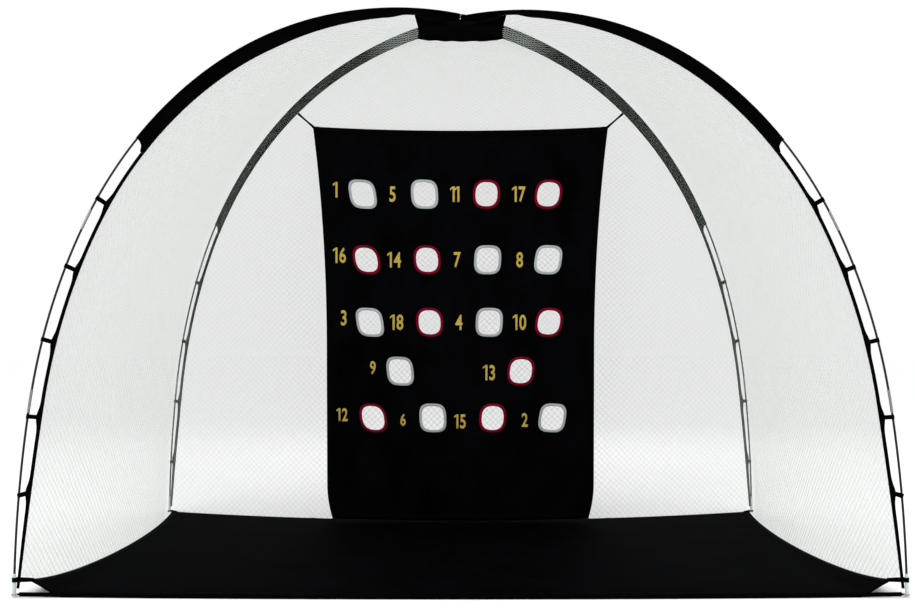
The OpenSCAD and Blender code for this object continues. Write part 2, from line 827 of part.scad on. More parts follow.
module target_corner_straps() {
    start = [tie_point[0], 0];
    way = corner_top - start;
    length = norm(way) + tie_lap;
    half = tie_w / 2;
    color([0.03, 0.03, 0.035])
        in_target()
            for (side = [0, 1])
                mirror([side, 0, 0])
                    translate([start[0], start[1], 0])
                        rotate([0, 0, atan2(way[1], way[0])])
                            linear_extrude(height = tie_t, center = true)
                                polygon([
                                    [0, 0], [tie_point_l, -half], [length, -half],
                                    [length, half], [tie_point_l, half]
                                ]);
}

// Ties on the floor's rear hem that hold back the target's lower corners
module target_foot_ties() {
    corner = [
        target_foot,
        tie_point[1] + tie_back,
        target_foot_h
    ];
    hem_part = 0.25;
    hem = panel_point(BR, BL, [0, -1, 0], back_bow, hem_part, SECTIONS);
    base = [hem[0], hem[1] - 2 * net_t, floor_t + sew_gap + tie_t / 2];
    start = corner + [0, sheet_back + target_t, 0];
    way = base - start;
    color([0.03, 0.03, 0.035])
        for (side = [0, 1])
            mirror([side, 0, 0])
                translate(start)
                    rotate([0, 0, atan2(way[1], way[0])])
                        rotate([0, atan2(-way[2], norm([way[0], way[1]])), 0])
                            translate([0, -foot_tie_w / 2, -tie_t / 2])
                                cube([norm(way), foot_tie_w, tie_t]);
}

pole_section(FL, 4);  // pole_a_section_01
pole_section(FL, 3);  // pole_a_section_02
pole_section(FL, 2);  // pole_a_section_03
pole_section(FL, 1);  // pole_a_section_04
pole_section(FL, 0);  // pole_a_section_05
pole_section(BR, 0);  // pole_a_section_06
pole_section(BR, 1);  // pole_a_section_07
pole_section(BR, 2);  // pole_a_section_08
pole_section(BR, 3);  // pole_a_section_09
pole_section(BR, 4);  // pole_a_section_10
pole_section(FR, 4);  // pole_b_section_01
pole_section(FR, 3);  // pole_b_section_02
pole_section(FR, 2);  // pole_b_section_03
pole_section(FR, 1);  // pole_b_section_04
pole_section(FR, 0);  // pole_b_section_05
pole_section(BL, 0);  // pole_b_section_06
pole_section(BL, 1);  // pole_b_section_07
pole_section(BL, 2);  // pole_b_section_08
pole_section(BL, 3);  // pole_b_section_09
pole_section(BL, 4);  // pole_b_section_10
ferrules(FL, BR);  // pole_a_ferrules
ferrules(FR, BL);  // pole_b_ferrules
shock_cord(FL, BR);  // pole_a_shock_cord
shock_cord(FR, BL);  // pole_b_shock_cord
foot_tip(FL);  // foot_tip_front_left
foot_tip(FR);  // foot_tip_front_right
foot_tip(BL);  // foot_tip_back_left
foot_tip(BR);  // foot_tip_back_right
front_foot_rings();
sleeve(FL);  // sleeve_front_left
sleeve(FR);  // sleeve_front_right
sleeve(BL);  // sleeve_back_left
sleeve(BR);  // sleeve_back_right
crown_patch();
hem(FL);  // hem_front_left
hem(FR);  // hem_front_right
hem(BL);  // hem_back_left
hem(BR);  // hem_back_right
loops(FL);  // loops_front_left
loops(FR);  // loops_front_right
loops(BL);  // loops_back_left
loops(BR);  // loops_back_right
net_panel(BL, FL, [1, 0, 0], side_bow, 12, 18);  // net_left
net_panel(FR, BR, [-1, 0, 0], side_bow, 12, 18);  // net_right
net_panel(BR, BL, [0, -1, 0], back_bow, 14, 16);  // net_back
floor_sheet();
front_strap();
corner_tabs();
target_sheet();
target_rims(false);  // target_rims_white
target_rims(true);  // target_rims_red
target_corner_straps();
target_foot_ties();
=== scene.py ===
"""Dome practice net: the cloth, netting, webbing and finishes that go on the frame of poles and feet.

Metres. +Z is up, the origin is on the ground below the crown, and the open front faces -Y.
"""

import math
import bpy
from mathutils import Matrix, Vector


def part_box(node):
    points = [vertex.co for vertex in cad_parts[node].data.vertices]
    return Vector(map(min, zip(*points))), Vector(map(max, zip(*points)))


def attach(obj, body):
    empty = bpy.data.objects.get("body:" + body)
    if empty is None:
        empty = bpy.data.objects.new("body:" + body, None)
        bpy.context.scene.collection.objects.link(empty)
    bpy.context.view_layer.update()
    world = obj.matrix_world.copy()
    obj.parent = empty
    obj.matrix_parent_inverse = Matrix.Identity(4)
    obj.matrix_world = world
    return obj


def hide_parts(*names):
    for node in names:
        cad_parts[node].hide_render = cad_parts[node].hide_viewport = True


bl_info = {
    "name": "Dome Practice Net",
    "version": (1, 0, 0),
    "blender": (4, 5, 0),
    "location": "3D View > Sidebar > Practice Net",
    "description": "Builds the cloth, netting and hole target of a dome practice net on its frame",
    "category": "Object",
}

from collections import namedtuple

import bmesh
import bpy
from bpy.props import FloatProperty, FloatVectorProperty, PointerProperty
from mathutils import Vector, noise

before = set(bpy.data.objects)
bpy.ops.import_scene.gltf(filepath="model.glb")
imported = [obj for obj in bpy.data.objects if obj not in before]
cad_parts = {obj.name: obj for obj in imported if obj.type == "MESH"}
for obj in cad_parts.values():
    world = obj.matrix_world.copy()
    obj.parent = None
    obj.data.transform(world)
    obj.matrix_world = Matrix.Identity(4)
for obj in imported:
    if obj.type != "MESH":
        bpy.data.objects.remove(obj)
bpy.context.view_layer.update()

# ---- driving sizes of the frame ----
FOOT_SPAN = 3.05
FOOT_DEPTH = 2.0
CROWN_H = 2.325
# Shares of a pole's bend, section by section from the crown to the foot
BENDS = (0.224, 0.261, 0.246, 0.183, 0.086)
# How far the lower pole passes below the upper one at the crossing
CROSSING_DROP = 0.0098
POLE_R = 0.004
# Widths of a sleeve's strip, which the net line closes, and of the hem along that line
STRIP_W = 0.046
HEM_W = 0.014
# Where the net line ends: inside the foot, and above the ground
FOOT_INSET = 0.017
HEM_END = 0.028
# How far from the crossing a sleeve's channel starts
SLEEVE_START = 0.005
# How far from the crossing each sleeve's strip starts. The upper pole's stop short of the lower pole
STRIP_STARTS = (0.0055, -0.0035, 0.0035, 0.0085)
# How much further down a sleeve ends on the net line than on its pole
SLEEVE_CUT = 0.03
# Between a sleeve's lower end and the hem tape
SEW_GAP = 0.0003
# A panel's edge beside the plane of its pole
PANEL_ASIDE = 0.0019
# Along a pole, from the crossing to the crown patch's corner
PATCH_REACH = 0.24
# How far the panels bow inwards at the ground, and the height at which the bows end
SIDE_BOW = 0.08
BACK_BOW = 0.3
BOW_TOP = 1.95
FLOOR_T = 0.002
# The floor cloth's edge outside the panels' lower edges
FLOOR_MARGIN = 0.003
# How far the front edge bows outwards in the middle
FRONT_BOW = 0.036
# The floor cloth's front edge, behind the ground strap's face
FLOOR_SETBACK = 0.0019
# Height of the front corner tabs, and the foot tips' radius there and at the ground
TAB_H = 0.057
TIP_R = 0.006
SOLE_R = 0.008
# The target's tie: along the pole from the crossing, and inside the net line
TIE_REACH = 1.026
TIE_SEAT = 0.0012
# How far behind its ties the target's foot hangs, the foot's height, and the sheet behind the ties' plane
TIE_BACK = 0.14
TARGET_FOOT_H = 0.0165
SHEET_BACK = 0.0021
# Thickness of the floor cloth and the crown patch, of the target, and of the folded hems
SHEET_T = 0.0012
TARGET_T = 0.0014
HEM_T = 0.0006
# Loops on a leg: how many, the lowest one's distance from the foot and the distance between two
FRONT_LOOPS = (5, 0.344, 0.27)
BACK_LOOPS = (4, 0.26, 0.32)
# Rows of holes: height, first hole's place, distance between holes, and the numbers in the row
HOLE_ROWS = (
    (1.608, -0.479, 0.303, (1, 5, 11, 17)),
    (1.288, -0.461, 0.297, (16, 14, 7, 8)),
    (0.982, -0.445, 0.293, (3, 18, 4, 10)),
    (0.742, -0.297, 0.594, (9, 13)),
    (0.512, -0.430, 0.294, (12, 6, 15, 2)),
)
# Numbers above this have a red rim
LAST_WHITE_RIM = 9
# How far a number stands to the right of its place beside the hole, by its place in a row of four
NUMBER_SHIFTS = (0.012, -0.017, -0.009, 0)
# How far the numbers of the first column stand up
FIRST_COLUMN_LIFT = 0.022
# Numbers that are printed out of line with the rest: to the right, up, share of the usual height
STRAY_NUMBERS = {
    2: (0.004, -0.01, 0.9),
    6: (0.01, -0.009, 0.8),
    9: (0.023, 0.017, 0.87),
    12: (-0.021, -0.006, 0.85),
    13: (-0.013, -0.007, 1),
    15: (-0.008, -0.017, 0.92),
}

SECTIONS = len(BENDS)
# How far the netting is laid out past the foot, in sections, before it is cut to the panel
LAYOUT_SPARE = 0.2
FOOT_REACH = math.hypot(FOOT_SPAN / 2, FOOT_DEPTH / 2)
LEG_ANGLE = math.atan2(FOOT_DEPTH / 2, FOOT_SPAN / 2)
FL, FR, BL, BR = range(4)
LEG_NAMES = ("front_left", "front_right", "back_left", "back_right")
AZIMUTHS = (math.pi + LEG_ANGLE, -LEG_ANGLE, math.pi - LEG_ANGLE, LEG_ANGLE)
LEG_LOOPS = (FRONT_LOOPS, FRONT_LOOPS, BACK_LOOPS, BACK_LOOPS)

Arc = namedtuple("Arc", "start end radius centre")
# Draw is how far a panel's upper edge draws in between its corners, as a share of the crown patch's reach
Panel = namedtuple("Panel", "name first last inward bow draw")
PANELS = (
    Panel("left", BL, FL, Vector((1, 0, 0)), SIDE_BOW, 0.05),
    Panel("right", FR, BR, Vector((-1, 0, 0)), SIDE_BOW, 0.05),
    Panel("back", BR, BL, Vector((0, -1, 0)), BACK_BOW, -0.18),
)


# ---- the poles' curve and the net line inside it ----
def mix(a, b, part):
    return a + (b - a) * part


def clamp(x):
    return max(0.0, min(1.0, x))


def smooth(x):
    x = clamp(x)
    return x * x * (3 - 2 * x)


def spread(a, b, steps):
    """Even values from a to b, both included."""
    return [mix(a, b, k / steps) for k in range(steps + 1)]


def noise_at(x, y, z):
    return noise.noise(Vector((x, y, z)))


def heading(angle):
    """The way out from an arc's centre, where the pole runs down at this angle."""
    return Vector((math.sin(angle), math.cos(angle)))


def pole_run(turn, turned):
    """How far a pole of unit section length runs out and falls when it bends by turn."""
    out = fall = 0
    for start, end in zip(turned, turned[1:]):
        radius = 1 / (turn * (end - start))
        out += radius * (math.sin(turn * end) - math.sin(turn * start))
        fall += radius * (math.cos(turn * start) - math.cos(turn * end))
    return out, fall


def pole_arcs(height):
    """A leg's arcs from the crown at this height to the foot, and a section's length."""
    turned = [sum(BENDS[:i]) / sum(BENDS) for i in range(SECTIONS + 1)]
    low, high = math.radians(30), math.radians(150)
    for _ in range(40):
        turn = (low + high) / 2
        out, fall = pole_run(turn, turned)
        if fall / out < height / FOOT_REACH:
            low = turn
        else:
            high = turn
    length = FOOT_REACH / out
    arcs, point = [], Vector((0, height))
    for start, end in zip(turned, turned[1:]):
        radius = length / (turn * (end - start))
        centre = point - radius * heading(turn * start)
        arcs.append(Arc(turn * start, turn * end, radius, centre))
        point = centre + radius * heading(turn * end)
    return arcs, length


ARCS_UPPER, _ = pole_arcs(CROWN_H)
ARCS_LOWER, SECTION_L = pole_arcs(CROWN_H - CROSSING_DROP)


def arc_point(arc, part, inset=0.0):
    return arc.centre + (arc.radius - inset) * heading(mix(arc.start, arc.end, part))


def last_line_arc():
    """The arc by which the net line closes in on the foot, along the last section."""
    above = ARCS_LOWER[SECTIONS - 2]
    start = arc_point(above, 1, STRIP_W)
    foot = Vector((FOOT_REACH - FOOT_INSET, HEM_END))
    turn = 2 * (math.atan2(start.y - foot.y, foot.x - start.x) - above.end)
    radius = (foot - start).length / (2 * math.sin(turn / 2))
    return Arc(above.end, above.end + turn, radius, start - radius * heading(above.end))


LINE_ARC = last_line_arc()


def leg_arcs(leg):
    return ARCS_UPPER if leg in (FL, BR) else ARCS_LOWER


def pole_point(leg, t):
    """A point on a leg's pole, t sections from the crown, as (distance out, height)."""
    i = min(SECTIONS - 1, int(t))
    return arc_point(leg_arcs(leg)[i], t - i)


def line_point(t, outside=0):
    """A point on the net line, or a distance outside it, t sections from the crown."""
    if t > SECTIONS - 1:
        return arc_point(LINE_ARC, t - (SECTIONS - 1), -outside)
    i = min(SECTIONS - 2, int(t))
    return arc_point(ARCS_LOWER[i], t - i, STRIP_W - outside)


def neck(leg, t):
    """How much nearer to the pole the net line runs where a front sleeve gathers towards the crown patch."""
    if leg not in (FL, FR):
        return 0
    deep, sharp, sharp_t = 0.018, 0.012, 0.42
    slope = deep * clamp((1.4 - t) / 0.8)
    tuck = sharp * math.exp(-((max(0, t - sharp_t) / 0.08) ** 2))
    return smooth(t / PATCH_T) * (slope + tuck)


def edge_point(leg, t):
    """A point on a leg's net line as it is gathered."""
    return line_point(t, neck(leg, t))


def on_leg(leg, p, aside=0):
    """A point of a leg's plane, carried into the object, with a step to the leg's left."""
    cos, sin = math.cos(AZIMUTHS[leg]), math.sin(AZIMUTHS[leg])
    return Vector((p.x * cos - aside * sin, p.x * sin + aside * cos, p.y))


def from_foot(length):
    return SECTIONS - length / SECTION_L


def loop_places(leg):
    count, first, pitch = LEG_LOOPS[leg]
    return [from_foot(first + k * pitch) for k in range(count)]


def sleeve_end(leg):
    count, first, pitch = LEG_LOOPS[leg]
    return from_foot(first + count * pitch)


# ---- net panels and the floor's edge ----
PATCH_T = PATCH_REACH / SECTION_L
# Fall of the net line along its last section
LAST_FALL = (line_point(SECTIONS - 0.5) - line_point(SECTIONS)).y * 2
# The floor's front corners, lifted by their tabs
CORNER = Vector((1.461, -FOOT_DEPTH / 2))
CORNER_LIFT = 0.061
CORNER_SPAN = 0.095
LIFT_FADE = 0.24


def arch(part):
    """0 at both ends and 1 in the middle."""
    return 4 * part * (1 - part)


def corner_fade(part):
    """1 at an edge's end, and 0 from a third of the way along it."""
    return max(0, 1 - 3 * part) ** 2


def gathering(leg, t):
    """The step by which the gathered net line lies nearer to the pole."""
    return on_leg(leg, edge_point(leg, t) - line_point(t))


def floor_lift(inward, y):
    """Height of the floor cloth near its two lifted corners, at a distance inside its side edge."""
    back = max(0, y - CORNER.y)
    return CORNER_LIFT * clamp(1 - inward / CORNER_SPAN) * math.exp(-back / LIFT_FADE)


def panel_sides(panel, t):
    """The ends of a panel's level line t sections from the crown."""
    line = line_point(t)
    return on_leg(panel.first, line, PANEL_ASIDE), on_leg(panel.last, line, -PANEL_ASIDE)


def half_width(panel, t):
    p, q = panel_sides(panel, t)
    return (p - q).length / 2


def straight_point(panel, part, t):
    """A panel's point t sections from the crown, with the panel's bow towards the middle."""
    p, q = panel_sides(panel, t)
    bow = panel.bow * max(0, 1 - p.z / BOW_TOP) ** 1.2
    rise = gathering(panel.first, t) * corner_fade(part) + gathering(panel.last, t) * corner_fade(1 - part)
    return p.lerp(q, part) + panel.inward * bow * arch(part) + rise


def panel_top(panel, part):
    return PATCH_T * (1 - panel.draw * arch(part))


def panel_bottom(panel, part):
    """Where a panel meets the floor's edge, in sections from the crown."""
    at = straight_point(panel, part, SECTIONS)
    height = FLOOR_T + floor_lift(0, at.y)
    return SECTIONS + (HEM_END - height) / LAST_FALL


def net_point(panel, part, down, slack=0.0):
    """A point of a net panel: part of the way across and down it. Slack lets it billow between its edges."""
    t = mix(panel_top(panel, part), panel_bottom(panel, part), down)
    p = straight_point(panel, part, t)
    fade = arch(part) * arch(clamp(down)) ** 0.5
    wave = noise.noise(Vector((1.7 * p.x, 1.7 * p.y, 1.3 * p.z)) + panel.inward * 7)
    fine = noise_at(6 * p.x, 6 * p.y, 5 * p.z)
    return p + panel.inward * slack * fade * (wave + 0.3 * fine)


def front_line(x, back=0.0):
    """The floor's and the ground strap's front line, at a distance behind the strap's face."""
    part = (x + FOOT_SPAN / 2) / FOOT_SPAN
    return Vector((x, -FOOT_DEPTH / 2 + back - FRONT_BOW * arch(part)))


def side_line(panel, part):
    """The floor's side edge under a panel: front to back on the right, back to front on the left."""
    p = straight_point(panel, part, panel_bottom(panel, part)) - FLOOR_MARGIN * panel.inward
    # The edge is drawn out to the corner over a stretch that ends just behind the front feet
    near_end, stretch = 0.015, 0.09
    from_end = p.y + FOOT_DEPTH / 2 - near_end
    pull = max(0, 1 - from_end / stretch) ** 2
    corner = Vector((math.copysign(CORNER.x, p.x), front_line(CORNER.x, FLOOR_SETBACK).y))
    return p.xy.lerp(corner, pull)


def floor_place(u, v):
    """A point of the floor cloth on the ground: u from left to right, v from front to back."""
    left, right, back_panel = PANELS
    front = front_line(mix(-CORNER.x, CORNER.x, u), FLOOR_SETBACK)
    back = straight_point(back_panel, 1 - u, panel_bottom(back_panel, 1 - u)).xy
    back.y += FLOOR_MARGIN
    west, east = side_line(left, 1 - v), side_line(right, v)
    corners = [side_line(left, 1), side_line(right, 0), side_line(left, 0), side_line(right, 1)]
    ruled = mix(mix(corners[0], corners[1], u), mix(corners[2], corners[3], u), v)
    return mix(front, back, v) + mix(west, east, u) - ruled


# ---- the target's plane ----
TIE_POINT = on_leg(BR, line_point(TIE_REACH / SECTION_L, -TIE_SEAT))
TARGET_DROP_Z = TIE_POINT.z - TARGET_FOOT_H
TARGET_TILT = math.atan2(TIE_BACK, TARGET_DROP_Z)
TARGET_DROP = math.hypot(TIE_BACK, TARGET_DROP_Z)
# An upper corner: half the sheet's width there, and its drop below the line through the ties
TARGET_CORNER = Vector((0.721, 0.063))
# Half the width below the flare, and the drop at which the flare ends
TARGET_WAIST = 0.657
WAIST_DROP = 1.11
# How far the upper and lower edges sag in the middle
TOP_SAG = 0.02
FOOT_SAG = 0.0105
# How far the lower corners draw in, and the drop at which that starts
FOOT_CURL = 0.026
CURL_DROP = 1.82


def target_half(down):
    """Half the target's width at a distance below the line through its ties."""
    flare = max(0, 1 - (down - TARGET_CORNER.y) / (WAIST_DROP - TARGET_CORNER.y)) ** 2
    curl = clamp((down - CURL_DROP) / (TARGET_DROP - CURL_DROP)) ** 2
    return TARGET_WAIST + (TARGET_CORNER.x - TARGET_WAIST) * flare - FOOT_CURL * curl


def target_top(x):
    return TARGET_CORNER.y + TOP_SAG * (1 - (x / TARGET_CORNER.x) ** 2)


def target_foot(x):
    return TARGET_DROP + FOOT_SAG * (1 - (x / TARGET_WAIST) ** 2)


def target_wave(x, down, wave):
    """How far the hanging sheet stands out towards the front: soft folds that die out at its top corners."""
    still = 0.35
    folds = noise_at(2.6 * x, 1.1 * down, 3.1)
    puckers = 0.35 * noise_at(9 * x, 6 * down, 8.4)
    from_corner = math.hypot(abs(x) - TARGET_CORNER.x, down - TARGET_CORNER.y)
    return wave * (folds + puckers) * smooth(from_corner / still)


def target_point(x, down, proud=0.0, wave=0.0):
    """A point by the target sheet: x to the right, down from the ties' line, proud towards the front."""
    front = proud - SHEET_BACK + target_wave(x, down, wave)
    sin, cos = math.sin(TARGET_TILT), math.cos(TARGET_TILT)
    return Vector((
        x,
        TIE_POINT.y - front * cos + down * sin,
        TIE_POINT.z - front * sin - down * cos,
    ))


def hole_places():
    """(number, x, down) of each hole's centre."""
    return [
        (number, first + k * pitch, (TIE_POINT.z - height) / math.cos(TARGET_TILT))
        for height, first, pitch, numbers in HOLE_ROWS
        for k, number in enumerate(numbers)
    ]


def hole_point(turn, grow, red, size):
    """A point round a hole, (across, up) from its centre, at a distance outside its cut edge."""
    squareness = 2.6 if red else 3.2
    power = 2 / squareness
    cos, sin = math.cos(turn), math.sin(turn)
    return Vector((
        math.copysign(abs(cos) ** power, cos) * (size[0] / 2 + grow),
        math.copysign(abs(sin) ** power, sin) * (size[1] / 2 + grow),
    ))


def skewed(p, x):
    """A point of a hole at x, as the cloth pulls the holes near its sides out of square."""
    lean, drop = 0.33 * x, 0.12 * abs(x)
    return Vector((p.x + lean * p.y, p.y - drop * p.x))


# ---- mesh helpers ----
def add_piece(name, mesh, body="root"):
    piece = bpy.data.objects.new(name, mesh)
    bpy.context.scene.collection.objects.link(piece)
    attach(piece, body)
    return piece


def finish_piece(piece, material, slot, nodes=()):
    """Gives a piece its material and smooth faces, and hides the frame nodes that it stands for. Its slot is
    not used.
    """
    piece.data.materials.clear()
    piece.data.materials.append(material)
    for face in piece.data.polygons:
        face.use_smooth = True
    if nodes:
        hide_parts(*nodes)
    return piece


def add_grid(bm, cols, rows, place, size):
    """Adds a grid to a mesh, its corner (u, v) at place(u, v) and its UVs in metres, over size."""
    layer = bm.loops.layers.uv.verify()
    made = bmesh.ops.create_grid(bm, x_segments=cols, y_segments=rows, size=0.5)["verts"]
    spots = {vert: (vert.co.x + 0.5, vert.co.y + 0.5) for vert in made}
    for face in {face for vert in made for face in vert.link_faces}:
        for loop in face.loops:
            u, v = spots[loop.vert]
            loop[layer].uv = (u * size[0], v * size[1])
    for vert, (u, v) in spots.items():
        vert.co = place(u, v)


def grid(cols, rows, place, size):
    bm = bmesh.new()
    add_grid(bm, cols, rows, place, size)
    return bm


def mesh_of(bm, name, merge=1e-5, outward=False):
    """A mesh from a bmesh, with its seams closed. Outward turns a closed shape's faces outwards."""
    bmesh.ops.remove_doubles(bm, verts=bm.verts, dist=merge)
    if outward:
        bmesh.ops.recalc_face_normals(bm, faces=bm.faces)
    mesh = bpy.data.meshes.new(name)
    bm.to_mesh(mesh)
    bm.free()
    return mesh


def sew(name, bm, finish, nodes=(), body="root", wall=0.0, offset=0.0, **closing):
    """A finished piece from a mesh. Its finish is a material and a slot, and a wall makes cloth of it."""
    piece = add_piece(name, mesh_of(bm, name, **closing), body)
    if wall:
        cloth = piece.modifiers.new("thickness", "SOLIDIFY")
        cloth.thickness = wall
        cloth.offset = offset
    return finish_piece(piece, *finish, nodes)


def mesh_from_curve(curve):
    """The mesh of a curve or a text, which is then deleted."""
    maker = bpy.data.objects.new("maker", curve)
    bpy.context.scene.collection.objects.link(maker)
    depsgraph = bpy.context.evaluated_depsgraph_get()
    mesh = bpy.data.meshes.new_from_object(maker.evaluated_get(depsgraph))
    bpy.data.objects.remove(maker)
    return mesh


def add_spline(curve, points, closed=False):
    spline = curve.splines.new("POLY")
    spline.points.add(len(points) - 1)
    for point, co in zip(spline.points, points):
        point.co = (*co, *(0,) * (3 - len(co)), 1)
    spline.use_cyclic_u = closed


def cut_to_grid(bm, step):
    """Cuts a flat shape along lines a step apart both ways, so that it can follow bent cloth."""
    for axis in range(2):
        places = [vert.co[axis] for vert in bm.verts]
        normal = Vector((axis == 0, axis == 1, 0))
        at = step * math.ceil(min(places) / step + 0.01)
        while at < max(places):
            everything = bm.verts[:] + bm.edges[:] + bm.faces[:]
            bmesh.ops.bisect_plane(bm, geom=everything, plane_co=normal * at, plane_no=normal)
            at += step


def length_of(points):
    return sum((b - a).length for a, b in zip(points, points[1:]))


# ---- materials ----
def rib_scale(width):
    """The scale at which a wave texture's bands are about as wide as a thread or a rib."""
    return 1 / width / 6.3


class Finish:
    """A material in the making. Its even values stand on the shader's own sockets."""

    def __init__(self, name, colour, roughness, **sockets):
        self.colour = colour
        self.material = bpy.data.materials.new(name)
        self.material.use_nodes = True
        self.material.diffuse_color = (*colour, 1)
        self.tree = self.material.node_tree
        self.shader = self.tree.nodes["Principled BSDF"]
        self.shader.inputs["Base Color"].default_value = (*colour, 1)
        self.shader.inputs["Roughness"].default_value = roughness
        for socket, value in sockets.items():
            self.shader.inputs[socket.replace("_", " ")].default_value = value

    def node(self, kind, settings=None, **inputs):
        """Adds a node with its settings, and sets its inputs or links them to other nodes' outputs."""
        node = self.tree.nodes.new(kind)
        for name, value in (settings or {}).items():
            setattr(node, name, value)
        for name, value in inputs.items():
            socket = node.inputs[name.replace("_", " ")]
            if isinstance(value, bpy.types.NodeSocket):
                self.tree.links.new(value, socket)
            else:
                socket.default_value = value
        return node

    def place(self, space, stretch=(1, 1, 1)):
        """Texture coordinates from a space, UV or Object."""
        source = self.node("ShaderNodeTexCoord").outputs[space]
        return self.node("ShaderNodeMapping", Vector=source, Scale=stretch).outputs["Vector"]

    def clouds(self, scale, detail=3.0, space="Object", stretch=(1, 1, 1)):
        vector = self.place(space, stretch)
        return self.node("ShaderNodeTexNoise", Vector=vector, Scale=scale, Detail=detail).outputs["Fac"]

    def ribs(self, scale, direction, space="UV"):
        settings = {"bands_direction": direction}
        vector = self.place(space)
        return self.node("ShaderNodeTexWave", settings, Vector=vector, Scale=scale).outputs["Fac"]

    def ranged(self, value, low, high, **spans):
        limits = {"To_Min": low, "To_Max": high, **spans}
        return self.node("ShaderNodeMapRange", Value=value, **limits).outputs["Result"]

    def product(self, first, second):
        node = self.node("ShaderNodeMath", {"operation": "MULTIPLY"})
        self.tree.links.new(first, node.inputs[0])
        self.tree.links.new(second, node.inputs[1])
        return node.outputs[0]

    def tint(self, value, low, high, lift=0.0):
        """Takes the colour from low to high times its own as value grows, with a lift at the high end."""
        ramp = self.node("ShaderNodeValToRGB", Fac=value)
        ends = [(0.3, low, 0.0), (0.7, high, lift)]
        for element, (position, factor, more) in zip(ramp.color_ramp.elements, ends):
            element.color = (*(min(1.0, c * factor + more) for c in self.colour), 1)
            element.position = position
        self.tree.links.new(ramp.outputs["Color"], self.shader.inputs["Base Color"])

    def gloss(self, value, low, high):
        """Takes the roughness from low to high as value grows."""
        self.tree.links.new(self.ranged(value, low, high), self.shader.inputs["Roughness"])

    def bump(self, height, distance, strength=1.0):
        made = self.node("ShaderNodeBump", Height=height, Distance=distance, Strength=strength)
        self.tree.links.new(made.outputs["Normal"], self.shader.inputs["Normal"])


def woven_cloth(name, colour, thread, roughness=0.75, sheen=0.0, sheen_blotch=1.8):
    """Plain-woven coated cloth: crossing threads, with soft blotches of painted sheen in its colour, and of
    gloss.
    """
    cloth = Finish(
        name, colour, roughness, Sheen_Weight=sheen, Sheen_Roughness=0.5, Specular_IOR_Level=0.004
    )
    scale = rib_scale(thread)
    sheen_and_gloss_patches = cloth.clouds(7, 4, stretch=(1, 1, 0.6))
    # Painted sheen: the colour is darkened and brightened in soft blotches.
    cloth.tint(sheen_and_gloss_patches, 1 / sheen_blotch, sheen_blotch)
    cloth.gloss(sheen_and_gloss_patches, roughness - 0.12, roughness + 0.12)
    cloth.bump(cloth.product(cloth.ribs(scale, "X"), cloth.ribs(scale, "Y")), thread / 3, 0.5)
    return cloth.material


def webbing_finish(name, colour):
    """Ribbed webbing: ribs across the tape and a fine grain along it."""
    rib = 0.0016
    tape = Finish(name, colour, 0.8, Specular_IOR_Level=0.01)
    tape.tint(tape.clouds(40, space="UV"), 0.7, 1.5)
    tape.bump(tape.product(tape.ribs(rib_scale(rib), "Y"), tape.clouds(900, 2, "UV")), rib / 3, 0.7)
    return tape.material


def twisted_thread(name, colour):
    """Knitted netting thread: thin, translucent, faintly mottled plastic fibre."""
    thread = Finish(name, colour, 0.6, Specular_IOR_Level=0.2, Alpha=0.65)
    thread.tint(thread.clouds(30), 0.94, 1.04)
    thread.bump(thread.clouds(700, 2), 0.0004, 0.6)
    return thread.material


def fine_netting(name, colour, cover):
    """The fine knit between the threads, seen as a veil, painted a little paler near the ground as painted
    light from the bright ground.
    """
    veil = Finish(name, colour, 0.9, Specular_IOR_Level=0.1, Alpha=cover)
    height = veil.node("ShaderNodeSeparateXYZ", Vector=veil.place("Object")).outputs["Z"]
    # Painted light from the bright ground: a lift in colour that grows towards the ground, unevenly.
    painted_ground_light = veil.ranged(height, 1.0, 0.0, From_Min=0.1, From_Max=1.3)
    mottle = veil.ranged(veil.clouds(9, 5, "UV"), 0.7, 1.3)
    veil.tint(veil.product(painted_ground_light, mottle), 1, 1, lift=0.06)
    veil.bump(veil.clouds(260, 2, "UV"), 0.0008, 0.4)
    return veil.material


def satin_rod(name, colour):
    """Lacquered glass-fibre rod, with faint draw lines and scuffs."""
    rod = Finish(name, colour, 0.38, Coat_Weight=0.06, Coat_Roughness=0.2, Specular_IOR_Level=0.2)
    scuffs = rod.clouds(24, 5)
    rod.tint(scuffs, 0.7, 1.6)
    rod.gloss(scuffs, 0.28, 0.52)
    rod.bump(rod.clouds(12, 3, stretch=(60, 60, 4)), 0.0002, 0.4)
    return rod.material


def drawn_metal(name, colour, roughness):
    """Drawn metal tube or wire with fine scratches."""
    metal = Finish(name, colour, roughness, Metallic=1.0)
    lines = metal.clouds(9, 4, stretch=(90, 90, 12))
    metal.tint(lines, 0.85, 1.05)
    metal.gloss(lines, roughness - 0.08, roughness + 0.15)
    metal.bump(lines, 0.0001, 0.5)
    return metal.material


def moulded_plastic(name, colour):
    """Milky moulded plastic with a fine grain."""
    tip = Finish(name, colour, 0.45, Specular_IOR_Level=0.4, Coat_Weight=0.1, Coat_Roughness=0.3)
    haze = tip.clouds(22, 3)
    tip.tint(haze, 0.9, 1.05)
    tip.gloss(haze, 0.38, 0.55)
    tip.bump(tip.clouds(400, 3), 0.0002, 0.4)
    return tip.material


def braided_cord(name, colour):
    """Braided cover of an elastic cord."""
    cord = Finish(name, colour, 0.85, Sheen_Weight=0.2)
    braid = cord.ribs(90, "DIAGONAL", "Object")
    cord.tint(braid, 0.8, 1.05)
    cord.bump(braid, 0.0003, 0.7)
    return cord.material


def printed_ink(name, colour):
    """Screen-printed ink, slightly uneven over the cloth."""
    ink = Finish(name, colour, 0.55, Specular_IOR_Level=0.3)
    ink.tint(ink.clouds(60, 4), 0.82, 1.05)
    ink.bump(ink.clouds(900, 2), 0.0002, 0.5)
    return ink.material


def named_material(name, maker, *values):
    """The named material, made the first time it is asked for."""
    return bpy.data.materials.get(name) or maker(name, *values)


